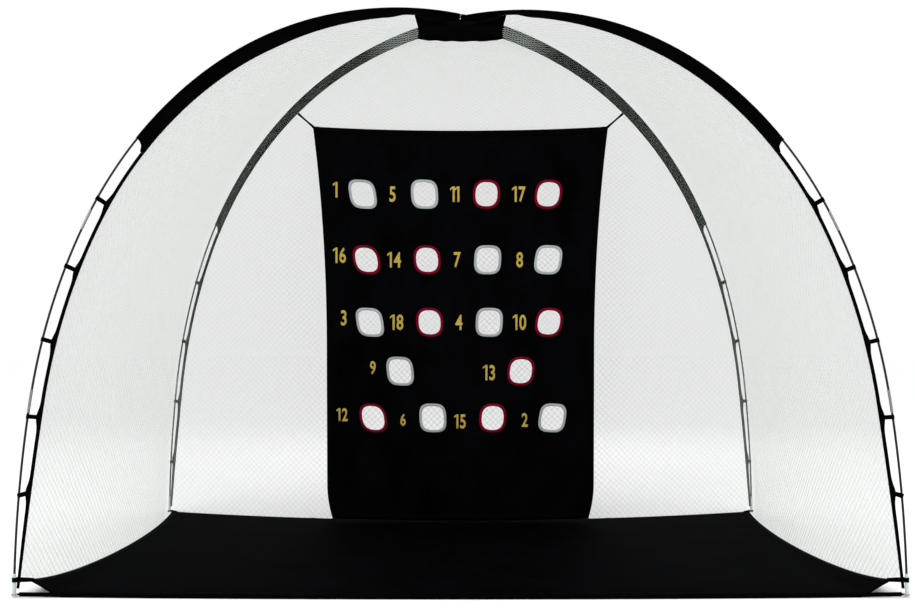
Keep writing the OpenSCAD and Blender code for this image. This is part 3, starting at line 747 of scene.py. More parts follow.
def webbing(settings, slot="webbing"):
    """The finish of the black tapes, loops and hems."""
    return named_material("black_webbing", webbing_finish, tuple(settings.cloth.webbing)), slot


def sleeve_cloth(settings):
    return named_material("sleeve_cloth", woven_cloth, tuple(settings.cloth.sleeve), 0.0009), "sleeve"


# ---- settings ----
def length(name, description, default):
    return FloatProperty(name=name, description=description, default=default, min=0, unit="LENGTH")


def colour(name, description, default):
    return FloatVectorProperty(
        name=name, description=description, default=default, size=3, min=0, max=1, subtype="COLOR"
    )


class FrameFinish(bpy.types.PropertyGroup):
    pole: colour("Pole", "Colour of the pole sections", (0.005, 0.005, 0.0055))
    metal: colour("Metal", "Colour of the ferrules and foot rings", (0.24, 0.25, 0.26))
    tip: colour("Foot tip", "Colour of the moulded foot tips", (0.5, 0.58, 0.56))
    cord: colour("Shock cord", "Colour of the cord inside the poles", (0.6, 0.6, 0.56))


class NettingSettings(bpy.types.PropertyGroup):
    mesh: length("Mesh", "Side of a diamond of the netting", 0.021)
    thread: length("Thread", "Thickness of a netting thread", 0.0014)
    waver: length("Waver", "How far the threads stray from straight lines", 0.009)
    slack: length("Slack", "How far a panel billows between its edges", 0.012)
    cover: FloatProperty(
        name="Cover", description="Share of the light that the fine netting stops", default=0.21,
        min=0, max=1, subtype="FACTOR",
    )
    colour: colour("Thread", "Colour of the netting threads", (0.88, 0.96, 0.9))
    # The fine netting's near-black colour is painted shade: the front of the netting, which the light reaches
    # only from behind.
    veil: colour("Fine netting", "Colour of the netting between the threads", (0.01, 0.03, 0.015))


class ClothSettings(bpy.types.PropertyGroup):
    channel: length("Channel", "Radius of the channel sewn round a pole", 0.0058)
    wrinkle: length("Wrinkle", "Depth of the wrinkles in the sleeves", 0.002)
    webbing_t: length("Webbing", "Thickness of the webbing", 0.0014)
    sleeve: colour("Sleeve", "Colour of the sleeves and the crown patch", (0.0009, 0.0009, 0.001))
    webbing: colour("Webbing", "Colour of the tapes, loops and straps", (0.0009, 0.001, 0.0011))


class FloorSettings(bpy.types.PropertyGroup):
    wave: length("Wave", "Height of the ripples in the floor cloth", 0.004)
    hem: length("Hem", "Width of the floor's hem", 0.028)
    colour: colour("Floor", "Colour of the floor cloth", (0.0008, 0.0009, 0.0012))


class TargetSettings(bpy.types.PropertyGroup):
    hole_w: length("Hole width", "Width of a hole's cut edge", 0.117)
    hole_h: length("Hole height", "Height of a hole's cut edge", 0.127)
    rim: length("Rim", "Width of the binding round a hole", 0.013)
    wave: length("Wave", "Depth of the folds in the hanging sheet", 0.006)
    digits: length("Digits", "Height of the printed numbers", 0.076)
    beside: length("Beside", "Distance of a number from its hole's centre", 0.14)
    colour: colour("Sheet", "Colour of the target sheet", (0.0008, 0.0009, 0.0012))
    # The rims of holes 1 to 9 are white binding; this darker colour is painted shade on them.
    grey: colour("Grey rim", "Colour of the rims of holes 1 to 9", (0.36, 0.4, 0.4))
    red: colour("Red rim", "Colour of the rims of holes 10 to 18", (0.17, 0.001, 0.014))
    ink: colour("Ink", "Colour of the printed numbers", (0.5, 0.36, 0.05))


class StageSettings(bpy.types.PropertyGroup):
    ground: colour("Ground", "Colour of the ground", (0.995, 0.995, 0.995))
    sky: FloatProperty(name="Sky", description="Strength of the even light", default=1.0, min=0)
    key: FloatProperty(name="Key light", description="Power of the main light", default=110, min=0)


class PracticeNetSettings(bpy.types.PropertyGroup):
    frame: PointerProperty(type=FrameFinish, name="Frame", description="Finishes of the frame")
    netting: PointerProperty(type=NettingSettings, name="Netting", description="The net panels")
    cloth: PointerProperty(type=ClothSettings, name="Cloth", description="Sleeves, patch and webbing")
    floor: PointerProperty(type=FloorSettings, name="Floor", description="The floor cloth")
    target: PointerProperty(type=TargetSettings, name="Target", description="The hole target")
    stage: PointerProperty(type=StageSettings, name="Stage", description="Ground and light")


# ---- stage ----
class PRACTICENET_OT_stage(bpy.types.Operator):
    """Sets up the camera, the pale ground and the soft light"""

    bl_idname = "practice_net.stage"
    bl_label = "Stage"

    def execute(self, context):
        stage = context.scene.practice_net.stage
        self.add_camera(context)
        self.add_ground(context, tuple(stage.ground))
        self.add_light(context, stage)
        context.scene.view_settings.view_transform = "Standard"
        return {"FINISHED"}

    def add_camera(self, context):
        lens = bpy.data.cameras.new("camera")
        lens.sensor_fit = "HORIZONTAL"
        lens.sensor_width = 36
        lens.lens = 43.03
        lens.shift_x = -0.0033
        lens.clip_end = 200
        away, eye_height, tilt_up = 4.7748, 0.8382, 2.47
        camera = bpy.data.objects.new("camera", lens)
        camera.location = (0, -away, eye_height)
        camera.rotation_euler = (math.radians(90 + tilt_up), 0, 0)
        context.scene.collection.objects.link(camera)
        context.scene.camera = camera

    def add_ground(self, context, shade):
        bm = bmesh.new()
        bmesh.ops.create_circle(bm, cap_ends=True, segments=64, radius=160)
        ground = bpy.data.objects.new("ground", mesh_of(bm, "ground"))
        context.scene.collection.objects.link(ground)
        paper = Finish("ground", shade, 1.0, Specular_IOR_Level=0.0)
        paper.tint(paper.clouds(3), 0.995, 1.01)
        ground.data.materials.append(paper.material)

    def add_light(self, context, stage):
        world = bpy.data.worlds.new("studio")
        world.use_nodes = True
        sky = world.node_tree.nodes["Background"]
        sky.inputs["Color"].default_value = (1, 1, 1, 1)
        sky.inputs["Strength"].default_value = stage.sky
        context.scene.world = world
        aim = Vector((0, 0, 0.9))
        # Each lamp's place, its size and its share of the key light's power
        lamps = {
            "key_light": ((-3.2, -4.2, 4.6), 3.0, 1.0),
            "fill_light": ((4.0, -3.2, 3.4), 3.5, 0.5),
            "back_light": ((0.5, 4.8, 4.6), 3.5, 0.5),
        }
        for name, (place, size, share) in lamps.items():
            lamp = bpy.data.lights.new(name, "AREA")
            lamp.size = size
            lamp.energy = stage.key * share
            holder = bpy.data.objects.new(name, lamp)
            holder.location = place
            holder.rotation_euler = (aim - Vector(place)).to_track_quat("-Z", "Y").to_euler()
            context.scene.collection.objects.link(holder)


# ---- frame finishes ----
class PRACTICENET_OT_frame(bpy.types.Operator):
    """Gives the poles, ferrules, cords, foot tips and rings their finishes"""

    bl_idname = "practice_net.frame"
    bl_label = "Frame finishes"

    def execute(self, context):
        finish = context.scene.practice_net.frame
        finishes = {
            "_section_": satin_rod("pole_lacquer", tuple(finish.pole)),
            "_ferrules": drawn_metal("ferrule_metal", tuple(finish.metal), 0.34),
            "_foot_rings": drawn_metal("ring_steel", tuple(finish.metal), 0.24),
            "foot_tip_": moulded_plastic("tip_plastic", tuple(finish.tip)),
            "_shock_cord": braided_cord("elastic_cord", tuple(finish.cord)),
        }
        for name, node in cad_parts.items():
            for part, material in finishes.items():
                if part in name:
                    node.data.materials.clear()
                    node.data.materials.append(material)
        return {"FINISHED"}


# ---- sleeves ----
class PRACTICENET_OT_sleeves(bpy.types.Operator):
    """Makes the four sleeves: a channel round the pole, and a strip from it to the net line"""

    bl_idname = "practice_net.sleeves"
    bl_label = "Sleeves"

    def execute(self, context):
        settings = context.scene.practice_net
        for leg, name in enumerate(LEG_NAMES):
            self.add_sleeve(settings, leg, name)
        return {"FINISHED"}

    def profile(self, radius, strip):
        """Points round the sleeve's section, (share of the strip, or None on the channel, turn, side)."""
        half_seam = 0.001
        meet = math.asin(half_seam / radius)
        points = [(share, 0, 1) for share in strip]
        points += [(None, turn, 0) for turn in spread(meet, 2 * math.pi - meet, 14)]
        points += [(share, 0, -1) for share in reversed(strip)]
        return points + [points[0]]

    def add_sleeve(self, settings, leg, name):
        radius = settings.cloth.channel
        wrinkle = settings.cloth.wrinkle
        # Shares of the strip's width at which its section has points, from the net line to the pole
        strip = [1, 0.97, 0.86, 0.7, 0.5, 0.3, 0.14]
        profile = self.profile(radius, strip)
        start, end = SLEEVE_START / SECTION_L, sleeve_end(leg)
        strip_start = STRIP_STARTS[leg] / SECTION_L
        cut = SLEEVE_CUT / SECTION_L
        tape = 1 - HEM_W / STRIP_W
        # Half the strip's thickness at its seams, and how much its two layers puff up in between
        half_t, puff_t = 0.0008, 0.0009
        outer_seam, inner_seam = strip[1], strip[-1]
        rows_per_section = 40

        def place(u, v):
            share, turn, side = profile[round(u * (len(profile) - 1))]
            lower = 1 - math.sqrt(max(0, 1 - min(1, (share or 0) / tape) ** 2))
            upper = mix(start, strip_start, smooth((share or 0) * 3))
            t = mix(upper, end + cut * lower, v)
            pole = pole_point(leg, t)
            way = edge_point(leg, t) - pole
            inward = way.normalized()
            if share is None:
                return on_leg(leg, pole + inward * radius * math.cos(turn), radius * math.sin(turn))
            puff = half_t + puff_t * arch(clamp((share - inner_seam) / (outer_seam - inner_seam)))
            bend = wrinkle * arch(share) * noise_at(14 * t, 3 * share, 5 * leg)
            ripple = 0.4 * wrinkle * share * noise_at(60 * t, share, 3 * leg)
            ripple += wrinkle * neck(leg, t) / 0.03 * math.sin(17 * share) * arch(share) * 0.6
            return on_leg(leg, pole + way * share, side * puff + bend + ripple)

        cols, rows = len(profile) - 1, int((end - start) * rows_per_section)
        size = (length_of([place(u, 0) for u in spread(0, 1, cols)]), (end - start) * SECTION_L)
        sleeve = sew(
            f"sleeve_{name}_cloth", grid(cols, rows, place, size), sleeve_cloth(settings),
            [f"sleeve_{name}"], wall=0.0005, offset=-1, outward=True,
        )


# ---- crown patch ----
class PRACTICENET_OT_crown(bpy.types.Operator):
    """Makes the patch under the crossing, gathered in between its four corners"""

    bl_idname = "practice_net.crown"
    bl_label = "Crown patch"

    def execute(self, context):
        settings = context.scene.practice_net
        lift, fold_depth, middle_drop = 0.0009, 0.004, 0.001

        def place(u, v):
            a, b = 2 * u - 1, 2 * v - 1
            ring = max(abs(a), abs(b))
            if ring < 1e-6:
                return Vector((0, 0, line_point(0).y - middle_drop))
            beside = 0.5 - min(abs(a), abs(b)) / ring / 2
            draw = PANELS[0].draw if abs(a) > abs(b) else PANELS[2].draw
            t = ring * PATCH_T * (1 - draw * arch(beside))
            line = line_point(t)
            rise = (edge_point(FL if b < 0 else BL, t) - line) * corner_fade(beside)
            gather = noise_at(4.5 * a / ring, 4.5 * b / ring, 2.2)
            fold = fold_depth * ring * ring * gather * arch(beside) ** 0.5
            out = line.x + rise.x
            return Vector((
                a / ring * out * math.cos(LEG_ANGLE),
                b / ring * out * math.sin(LEG_ANGLE),
                line.y + rise.y + lift + fold,
            ))

        reach = line_point(PATCH_T).x
        size = (2 * reach * math.cos(LEG_ANGLE), 2 * reach * math.sin(LEG_ANGLE))
        patch = sew(
            "crown_patch_cloth", grid(48, 48, place, size), sleeve_cloth(settings),
            ["crown_patch"], wall=SHEET_T,
        )
        return {"FINISHED"}


# ---- hem tapes ----
class PRACTICENET_OT_hems(bpy.types.Operator):
    """Makes the tapes along the panels' edges, which widen to each loop"""

    bl_idname = "practice_net.hems"
    bl_label = "Hem tapes"

    def execute(self, context):
        settings = context.scene.practice_net
        for leg, name in enumerate(LEG_NAMES):
            self.add_hem(settings, leg, name)
        return {"FINISHED"}

    def add_hem(self, settings, leg, name):
        start = sleeve_end(leg) + (SLEEVE_CUT + SEW_GAP) / SECTION_L
        loops = loop_places(leg)
        # The tape's width between two loops, and how much wider and how far along it is at a loop
        thin, web, reach = 0.0185 if leg in (BL, BR) else 0.0125, 0.008, 0.03

        def place(u, v):
            t = mix(start, SECTIONS, v)
            webs = sum(math.exp(-(((t - at) * SECTION_L / reach) ** 2)) for at in loops)
            foot_taper = 1 - 0.2 * smooth((t - 4.6) / 0.4)
            width = (thin + web * min(1, webs)) * foot_taper
            sway = 0.0008 * noise_at(9 * t, 4 * leg, 1.3)
            return on_leg(leg, line_point(t, width * u), sway)

        along, cell = (SECTIONS - start) * SECTION_L, 0.01
        tape = grid(3, int(along / cell), place, (HEM_W, along))
        sew(f"hem_{name}_tape", tape, webbing(settings), [f"hem_{name}"], wall=settings.cloth.webbing_t)


# ---- loops and tabs ----
def wrap_points(radius, reach, half):
    """A webbing strip's way round a bar and back to its seam at reach, as (along, aside) points."""
    meet = math.acos(clamp((radius - half) / reach)) if reach > radius else math.pi / 2
    ring = spread(meet, 2 * math.pi - meet, 12)
    points = [Vector((reach, half)), Vector((mix(radius, reach, 0.6), mix(radius, half, 0.6)))]
    points += [radius * Vector((math.cos(turn), math.sin(turn))) for turn in ring]
    return points + [Vector((p.x, -p.y)) for p in reversed(points[:2])]


def add_wrap(bm, centre, inward, aside, up, radius, reach, half, height, taper=1.0):
    """Adds a webbing strip wrapped round a bar, its seam towards inward, and its height times taper there."""
    path = wrap_points(radius, reach, half)

    def place(u, v):
        p = path[round(u * (len(path) - 1))]
        tall = height * mix(1, taper, clamp(p.x / reach))
        return centre + inward * p.x + aside * p.y + up * (v - 0.5) * tall

    add_grid(bm, len(path) - 1, 3, place, (height, length_of(path)))


class PRACTICENET_OT_loops(bpy.types.Operator):
    """Makes the webbing loops that hold the hem tapes to the poles"""

    bl_idname = "practice_net.loops"
    bl_label = "Loops"

    def execute(self, context):
        settings = context.scene.practice_net
        thick = settings.cloth.webbing_t
        play, height, short_of_line = 0.0003, 0.015, 0.008
        for leg, name in enumerate(LEG_NAMES):
            bm = bmesh.new()
            for t in loop_places(leg):
                pole, line = pole_point(leg, t), line_point(t)
                centre = on_leg(leg, pole)
                inward = (on_leg(leg, line) - centre).normalized()
                aside = on_leg(leg, pole, 1) - centre
                reach = (line - pole).length - short_of_line
                radius = POLE_R + play + thick / 2
                up = inward.cross(aside)
                add_wrap(bm, centre, inward, aside, up, radius, reach, thick, height)
            sew(f"loops_{name}_webbing", bm, webbing(settings), [f"loops_{name}"], wall=thick)
        return {"FINISHED"}


class PRACTICENET_OT_tabs(bpy.types.Operator):
    """Makes the tabs that tie the floor's corners to the feet"""

    bl_idname = "practice_net.tabs"
    bl_label = "Corner tabs"

    def execute(self, context):
        settings = context.scene.practice_net
        thick = settings.cloth.webbing_t
        bm = bmesh.new()
        front_h, front_taper, front_rise = 0.0155, 0.8, 0.0025
        back_h, back_taper, back_rise = 0.009, 0.5, 0.001
        # From a back foot to the floor's corner: inwards and forwards
        corner_in, corner_fore = 0.045, 0.03
        for side in (-1, 1):
            foot = Vector((side * FOOT_SPAN / 2, -FOOT_DEPTH / 2, TAB_H + front_rise))
            corner = Vector((side * CORNER.x, front_line(CORNER.x, FLOOR_SETBACK).y, foot.z))
            self.add_tab(bm, foot, corner, TIP_R + thick, thick, front_h, front_taper)
            foot = Vector((side * FOOT_SPAN / 2, FOOT_DEPTH / 2, back_rise + back_h / 2))
            corner = foot - Vector((side * corner_in, corner_fore, 0))
            self.add_tab(bm, foot, corner, SOLE_R + thick, thick, back_h, back_taper)
        sew("corner_tabs_webbing", bm, webbing(settings), ["corner_tabs"], wall=thick)
        return {"FINISHED"}

    def add_tab(self, bm, foot, corner, radius, thick, height, taper):
        up = Vector((0, 0, 1))
        way = corner - foot
        inward = way.normalized()
        lap = 0.004
        reach = way.length + lap
        add_wrap(bm, foot, inward, up.cross(inward), up, radius, reach, thick / 2, height, taper)


# ---- net panels ----
class PRACTICENET_OT_nets(bpy.types.Operator):
    """Makes the three net panels: diamonds of thread, and the fine netting between them"""

    bl_idname = "practice_net.nets"
    bl_label = "Net panels"

    def execute(self, context):
        settings = context.scene.practice_net.netting
        thread = twisted_thread("net_thread", tuple(settings.colour))
        veil = fine_netting("fine_netting", tuple(settings.veil), settings.cover)
        for panel in PANELS:
            threads = self.add_threads(settings, panel)
            finish_piece(threads, thread, "net")
            self.add_veil(settings, panel, veil, threads)
        return {"FINISHED"}

    def add_veil(self, settings, panel, material, threads):
        width, drop, area = self.cut_size(panel)

        def place(u, v):
            return net_point(panel, u, 1 - v, settings.slack) - panel.inward * settings.thread / 2

        knit = grid(60, 72, place, (width, drop))
        veil = sew(f"net_{panel.name}_veil", knit, (material, "net"), [f"net_{panel.name}"])

    def cut_size(self, panel):
        """Width, drop and area of the piece that a panel is cut as."""
        rows = [[net_point(panel, part, down) for part in spread(0, 1, 4)] for down in spread(0, 1, 40)]
        widths = [length_of(row) for row in rows]
        middle = [row[2] for row in rows]
        pairs = zip(middle, middle[1:], widths, widths[1:])
        area = sum((b - a).length * (wide_a + wide_b) / 2 for a, b, wide_a, wide_b in pairs)
        return max(widths), length_of(middle), area

    def add_threads(self, settings, panel):
        """Lines of thread both ways across a flat layout of the panel, carried onto it."""
        curve = bpy.data.curves.new(f"net_{panel.name}_threads", "CURVE")
        curve.dimensions = "3D"
        curve.bevel_depth = settings.thread / 2
        curve.bevel_resolution = 0
        curve.use_fill_caps = True
        scale = SECTION_L * 0.95
        pitch = settings.mesh * math.sqrt(2)
        reach = half_width(panel, SECTIONS) + SECTIONS * scale
        lean = 1 if panel.name == "back" else -1
        for way in (1, -1):
            for k in range(int(2 * reach / pitch)):
                shift = (k + 0.5) * pitch - reach
                line = self.line_points(panel, settings, shift, way * lean, scale)
                if len(line) > 1:
                    add_spline(curve, [point for point, _ in line])
                    for point, (_, share) in zip(curve.splines[-1].points, line):
                        point.radius = share
        mesh = mesh_from_curve(curve)
        mesh.name = f"net_{panel.name}_threads"
        return add_piece(mesh.name, mesh)

    def line_points(self, panel, settings, shift, way, scale):
        """One thread: the line x = way * (y - shift) of the layout, where it lies on the panel."""
        step = 0.03 / math.sqrt(2)

        def inside(y):
            t = y / scale
            if not 0 < t < SECTIONS + LAYOUT_SPARE:
                return None
            part = 0.5 + way * (y - shift) / (2 * half_width(panel, t))
            if not 0 <= part <= 1:
                return None
            top, bottom = panel_top(panel, part), panel_bottom(panel, part)
            return (part, (t - top) / (bottom - top)) if top <= t <= bottom else None

        def edge(within, beyond):
            for _ in range(9):
                middle = (within + beyond) / 2
                if inside(middle):
                    within = middle
                else:
                    beyond = middle
            return within

        last = (SECTIONS + LAYOUT_SPARE) * scale
        ys = [k * step for k in range(int(last / step) + 2)]
        held = [y for y in ys if inside(y)]
        if len(held) < 2:
            return []
        held = [edge(held[0], held[0] - step)] + held + [edge(held[-1], held[-1] + step)]
        points = []
        for y in held:
            part, down = inside(y)
            fade = min(1, 30 * min(part, 1 - part, down, 1 - down))
            sway = noise_at(9 * y, 9 * shift, 2 * way) + 0.5 * noise_at(40 * y, 31 * shift, 5 * way)
            offset = settings.waver * sway * fade / (2 * half_width(panel, y / scale))
            proud = way * settings.thread / 4 * panel.inward
            point = net_point(panel, clamp(part + offset), down, settings.slack) + proud
            points.append((point, self.fineness(panel, part, y / scale)))
        return points

    def fineness(self, panel, part, t):
        """A thread's share of its full thickness: less in the finer selvedge along the back legs."""
        if panel.name == "back":
            return 1
        finest, selvedge, blend = 0.2, 0.16, 0.18
        from_back_leg = (part if panel.first == BL else 1 - part) * 2 * half_width(panel, t)
        away = smooth((from_back_leg - selvedge) / blend)
        near_crown = smooth((0.85 - t) / 0.35)
        return mix(finest, 1, max(away, near_crown))


# ---- floor ----
# The floor cloth's cells, from left to right and from front to back
FLOOR_CELLS = (150, 96)


class PRACTICENET_OT_floor(bpy.types.Operator):
    """Makes the floor cloth with its hem, its front corners lifted by their tabs"""

    bl_idname = "practice_net.floor"
    bl_label = "Floor cloth"

    def execute(self, context):
        settings = context.scene.practice_net
        floor = settings.floor
        material = woven_cloth("floor_cloth", tuple(floor.colour), 0.0011, 0.8)
        width = (floor_place(0, 0.5) - floor_place(1, 0.5)).length
        depth = (floor_place(0, 0) - floor_place(0, 1)).length
        lowest = 0.0011

        def place(u, v):
            x, y = floor_place(u, v)
            edge = min(1, 12 * min(u, 1 - u, v, 1 - v))
            ripples = 0.5 + 0.5 * noise_at(2.2 * x, 5 * y, 4.4)
            fine = 0.25 * (1 + noise_at(7 * x, 11 * y, 1.9))
            lift = floor_lift(min(u, 1 - u) * width, y)
            return Vector((x, y, lowest + lift + floor.wave * edge * (ripples + fine)))

        sheet = grid(*FLOOR_CELLS, place, (width, depth))
        cloth = sew("floor_sheet_cloth", sheet, (material, "floor"), ["floor_sheet"], wall=SHEET_T)
        hems = self.add_hems(settings, place, width, depth)
        area = sum(face.area for face in cloth.data.polygons)
        cut = (2 * floor_place(1, 0.02).x, depth + FRONT_BOW)
        return {"FINISHED"}

    def add_hems(self, settings, place, width, depth):
        """A folded hem on each edge of the floor, just proud of the cloth."""
        bm = bmesh.new()
        hem, proud = settings.floor.hem, Vector((0, 0, 0.001))
        share_u, share_v = hem / width, hem / depth
        cols, rows = FLOOR_CELLS
        strips = [
            (cols, width, lambda a, b: (a, b * share_v)),
            (cols, width, lambda a, b: (a, 1 - b * share_v)),
            (rows, depth, lambda a, b: (b * share_u, a)),
            (rows, depth, lambda a, b: (1 - b * share_u, a)),
        ]
        for cells, along, spot in strips:

            def lay(b, a, spot=spot):
                return place(*spot(a, b)) + proud

            add_grid(bm, 2, cells, lay, (hem, along))
        return sew("floor_hems", bm, webbing(settings, "floor"), wall=HEM_T, merge=1e-7)


class PRACTICENET_OT_strap(bpy.types.Operator):
    """Makes the ground strap across the open front, looped through the foot rings"""

    bl_idname = "practice_net.strap"
    bl_label = "Ground strap"

    def execute(self, context):
        settings = context.scene.practice_net
        thick = settings.cloth.webbing_t
        low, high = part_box("front_foot_rings")
        wire, wrap_r = 0.003, 0.0026
        ring_mean = (high.y - low.y - wire) / 2
        centre = Vector((high.x - wire / 2 - ring_mean, (low.y + high.y) / 2, (low.z + high.z) / 2))
        end = centre.x - ring_mean - wrap_r
        bottom, top, setback = 0.003, 0.0175, 0.0008
        bm = bmesh.new()

        def place(u, v):
            x = mix(-end, end, v)
            p = front_line(x, setback)
            lean = 0.0012 * noise_at(3 * x, 0.4, 7.7) * (u - 0.5)
            rise = 0.0006 * noise_at(5 * x, 2.2, 0.3)
            return Vector((p.x, p.y + lean, mix(bottom, top, u) + rise))

        add_grid(bm, 3, 240, place, (top - bottom, 2 * end))
        for side in (-1, 1):

            def wrap(u, v, side=side):
                around, along = 2 * math.pi * u, math.radians(mix(-25, 25, v))
                out = ring_mean + wrap_r * math.cos(around)
                return Vector((
                    side * (centre.x - out * math.cos(along)),
                    centre.y + out * math.sin(along),
                    centre.z + wrap_r * math.sin(around),
                ))

            add_grid(bm, 12, 5, wrap, (0.016, 0.01))
        sew("front_strap_webbing", bm, webbing(settings), ["front_strap"], wall=thick)
        return {"FINISHED"}


# ---- target ----
class PRACTICENET_OT_target(bpy.types.Operator):
    """Makes the hanging target sheet, cut with eighteen holes, and its side hems"""

    bl_idname = "practice_net.target"
    bl_label = "Target sheet"

    def execute(self, context):
        settings = context.scene.practice_net
        target = settings.target
        # The last value sets the strength of the painted sheen blotches on the target.
        material = woven_cloth("target_cloth", tuple(target.colour), 0.0009, 0.6, 0.0, 2.4)
        bm = bmesh.new()
        bm.from_mesh(mesh_from_curve(self.outline(target)))
        cell = 0.022
        cut_to_grid(bm, cell)
        layer = bm.loops.layers.uv.verify()
        for face in bm.faces:
            for loop in face.loops:
                loop[layer].uv = loop.vert.co.xy
        flat_area = sum(face.calc_area() for face in bm.faces)
        for vert in bm.verts:
            vert.co = target_point(vert.co.x, -vert.co.y, 0, target.wave)
        sheet = sew("target_cloth", bm, (material, "target"), ["target_sheet"], "target", wall=TARGET_T)
        hems = self.add_hems(settings)
        return {"FINISHED"}

    def outline(self, target):
        """The flat sheet as a filled curve: its edge, and the eighteen holes."""
        curve = bpy.data.curves.new("target_outline", "CURVE")
        curve.dimensions = "2D"
        curve.fill_mode = "BOTH"
        steps = 60
        top, foot = TARGET_CORNER, target_half(TARGET_DROP)
        right = spread(top.y, TARGET_DROP, steps)
        below = spread(foot, -foot, steps)[1:-1]
        above = spread(-top.x, top.x, steps)[1:-1]
        edge = [(target_half(down), -down) for down in right]
        edge += [(x, -target_foot(x)) for x in below]
        edge += [(-target_half(down), -down) for down in reversed(right)]
        edge += [(x, -target_top(x)) for x in above]
        add_spline(curve, edge, closed=True)
        size = (target.hole_w, target.hole_h)
        for number, x, down in hole_places():
            ring = [hole_point(2 * math.pi * k / 40, 0, number > LAST_WHITE_RIM, size) for k in range(40)]
            points = [skewed(p, x) + Vector((x, -down)) for p in ring]
            add_spline(curve, points, closed=True)
        return curve

    def add_hems(self, settings):
        """Folded hems along the sheet's edges, on its front."""
        bm = bmesh.new()
        hem, wave = 0.03, settings.target.wave
        # The level hems lie on the upright ones, and end a little short of the sides
        upright_proud, level_proud, short = 0.0012, 0.0016, 0.002
        for side in (-1, 1):

            def upright(u, v, side=side):
                down = mix(TARGET_CORNER.y, TARGET_DROP, v)
                return target_point(side * (target_half(down) - hem * u), down, upright_proud, wave)

            add_grid(bm, 2, 90, upright, (hem, TARGET_DROP))
        for edge, step in ((target_top, hem), (target_foot, -hem)):

            def level(u, v, edge=edge, step=step):
                half = target_half(edge(0) + step / 2) - short
                x = mix(-half, half, v)
                return target_point(x, edge(x) + step * u, level_proud, wave)

            add_grid(bm, 2, 64, level, (hem, 2 * TARGET_WAIST))
        return sew("target_hems", bm, webbing(settings, "target"), (), "target", HEM_T, merge=1e-7)


class PRACTICENET_OT_rims(bpy.types.Operator):
    """Makes the padded bindings round the holes: white ones for 1 to 9, coloured darker as painted shade, and
    red ones for 10 to 18
    """

    bl_idname = "practice_net.rims"
    bl_label = "Hole rims"

    def execute(self, context):
        target = context.scene.practice_net.target
        finishes = {
            # The white bindings' colour is darkened: painted shade.
            "white": (False, "rim_grey", target.grey),
            "red": (True, "rim_red", target.red),
        }
        for name, (red, slot, shade) in finishes.items():
            material = woven_cloth(f"{name}_binding", tuple(shade), 0.0008, 0.7, 0.05, 1.12)
            bm = bmesh.new()
            for number, x, down in hole_places():
                if (number > LAST_WHITE_RIM) == red:
                    self.add_rim(bm, target, x, down, red)
            sew(
                f"target_rims_{name}_binding", bm, (material, slot), [f"target_rims_{name}"],
                "target", merge=2e-5, outward=True,
            )
        return {"FINISHED"}

    def add_rim(self, bm, target, x, down, red):
        size = (target.hole_w, target.hole_h)
        outside = 0.008
        half, thick = target.rim / 2, 0.0027

        def place(u, v):
            turn, around = 2 * math.pi * u, 2 * math.pi * v
            across = outside - half + half * math.cos(around)
            p = skewed(hole_point(turn, across, red, size), x)
            flat = math.copysign(abs(math.sin(around)) ** 0.8, math.sin(around))
            crease = 1 + 0.12 * noise_at(9 * math.cos(turn) + 50 * x, 9 * math.sin(turn), 20 * down)
            return target_point(x + p.x, down - p.y, thick * flat * crease, target.wave)

        add_grid(bm, 48, 12, place, (0.39, 0.03))


class PRACTICENET_OT_numbers(bpy.types.Operator):
    """Prints the plain numbers 1 to 18 beside the holes"""

    bl_idname = "practice_net.numbers"
    bl_label = "Numbers"

    def execute(self, context):
        target = context.scene.practice_net.target
        ink = printed_ink("number_ink", tuple(target.ink))
        for number, x, down in hole_places():
            column = round((x - HOLE_ROWS[0][1]) / HOLE_ROWS[0][2])
            aside = NUMBER_SHIFTS[column] - target.beside
            right, up, share = STRAY_NUMBERS.get(number, (0, 0, 1))
            lift = up + (FIRST_COLUMN_LIFT if column == 0 else 0)
            self.add_number(target, ink, number, x + aside + right, down - lift, target.digits * share)
        return {"FINISHED"}

    def digit(self, digit, height):
        """A digit's flat shape round its centre, and its width."""
        text = bpy.data.curves.new("digit", "FONT")
        text.body = digit
        boldness = 0.022
        text.offset = boldness
        text.resolution_u = 6
        bm = bmesh.new()
        bm.from_mesh(mesh_from_curve(text))
        (left, right), (low, high) = (
            (min(places), max(places)) for places in zip(*(vert.co.xy for vert in bm.verts))
        )
        narrowing, scale = 0.68, height / (high - low)
        middle = Vector(((left + right) / 2, (low + high) / 2, 0))
        for vert in bm.verts:
            vert.co = (vert.co - middle) * scale
            vert.co.x *= narrowing
        width = (right - left) * scale * narrowing
        if digit == "1":
            # The flag at the top of the bar
            flag = [(-0.5 * width, 0.5), (-0.5 * width, 0.35), (-0.5 * width - 0.17 * height, 0.24)]
            flag.append((flag[2][0], 0.36))
            bm.faces.new([bm.verts.new((x, y * height, 0)) for x, y in flag])
            width += 0.1 * height
        return bm, width

    def add_number(self, target, ink, number, x, down, height):
        digits = [self.digit(digit, height) for digit in str(number)]
        space = 0.07 * height
        whole = sum(width + space for _, width in digits) - space
        name = f"number_{number:02d}"
        bm = bmesh.new()
        left = -whole / 2
        for shape, width in digits:
            bmesh.ops.translate(shape, verts=shape.verts, vec=(left + width / 2, 0, 0))
            left += width + space
            bm.from_mesh(mesh_of(shape, name))
        cell, proud, ink_t = 0.012, 0.0011, 0.0004
        cut_to_grid(bm, cell)
        for vert in bm.verts:
            vert.co = target_point(x + vert.co.x, down - vert.co.y, proud, target.wave)
        sew(name, bm, (ink, "target"), body="target", wall=ink_t)


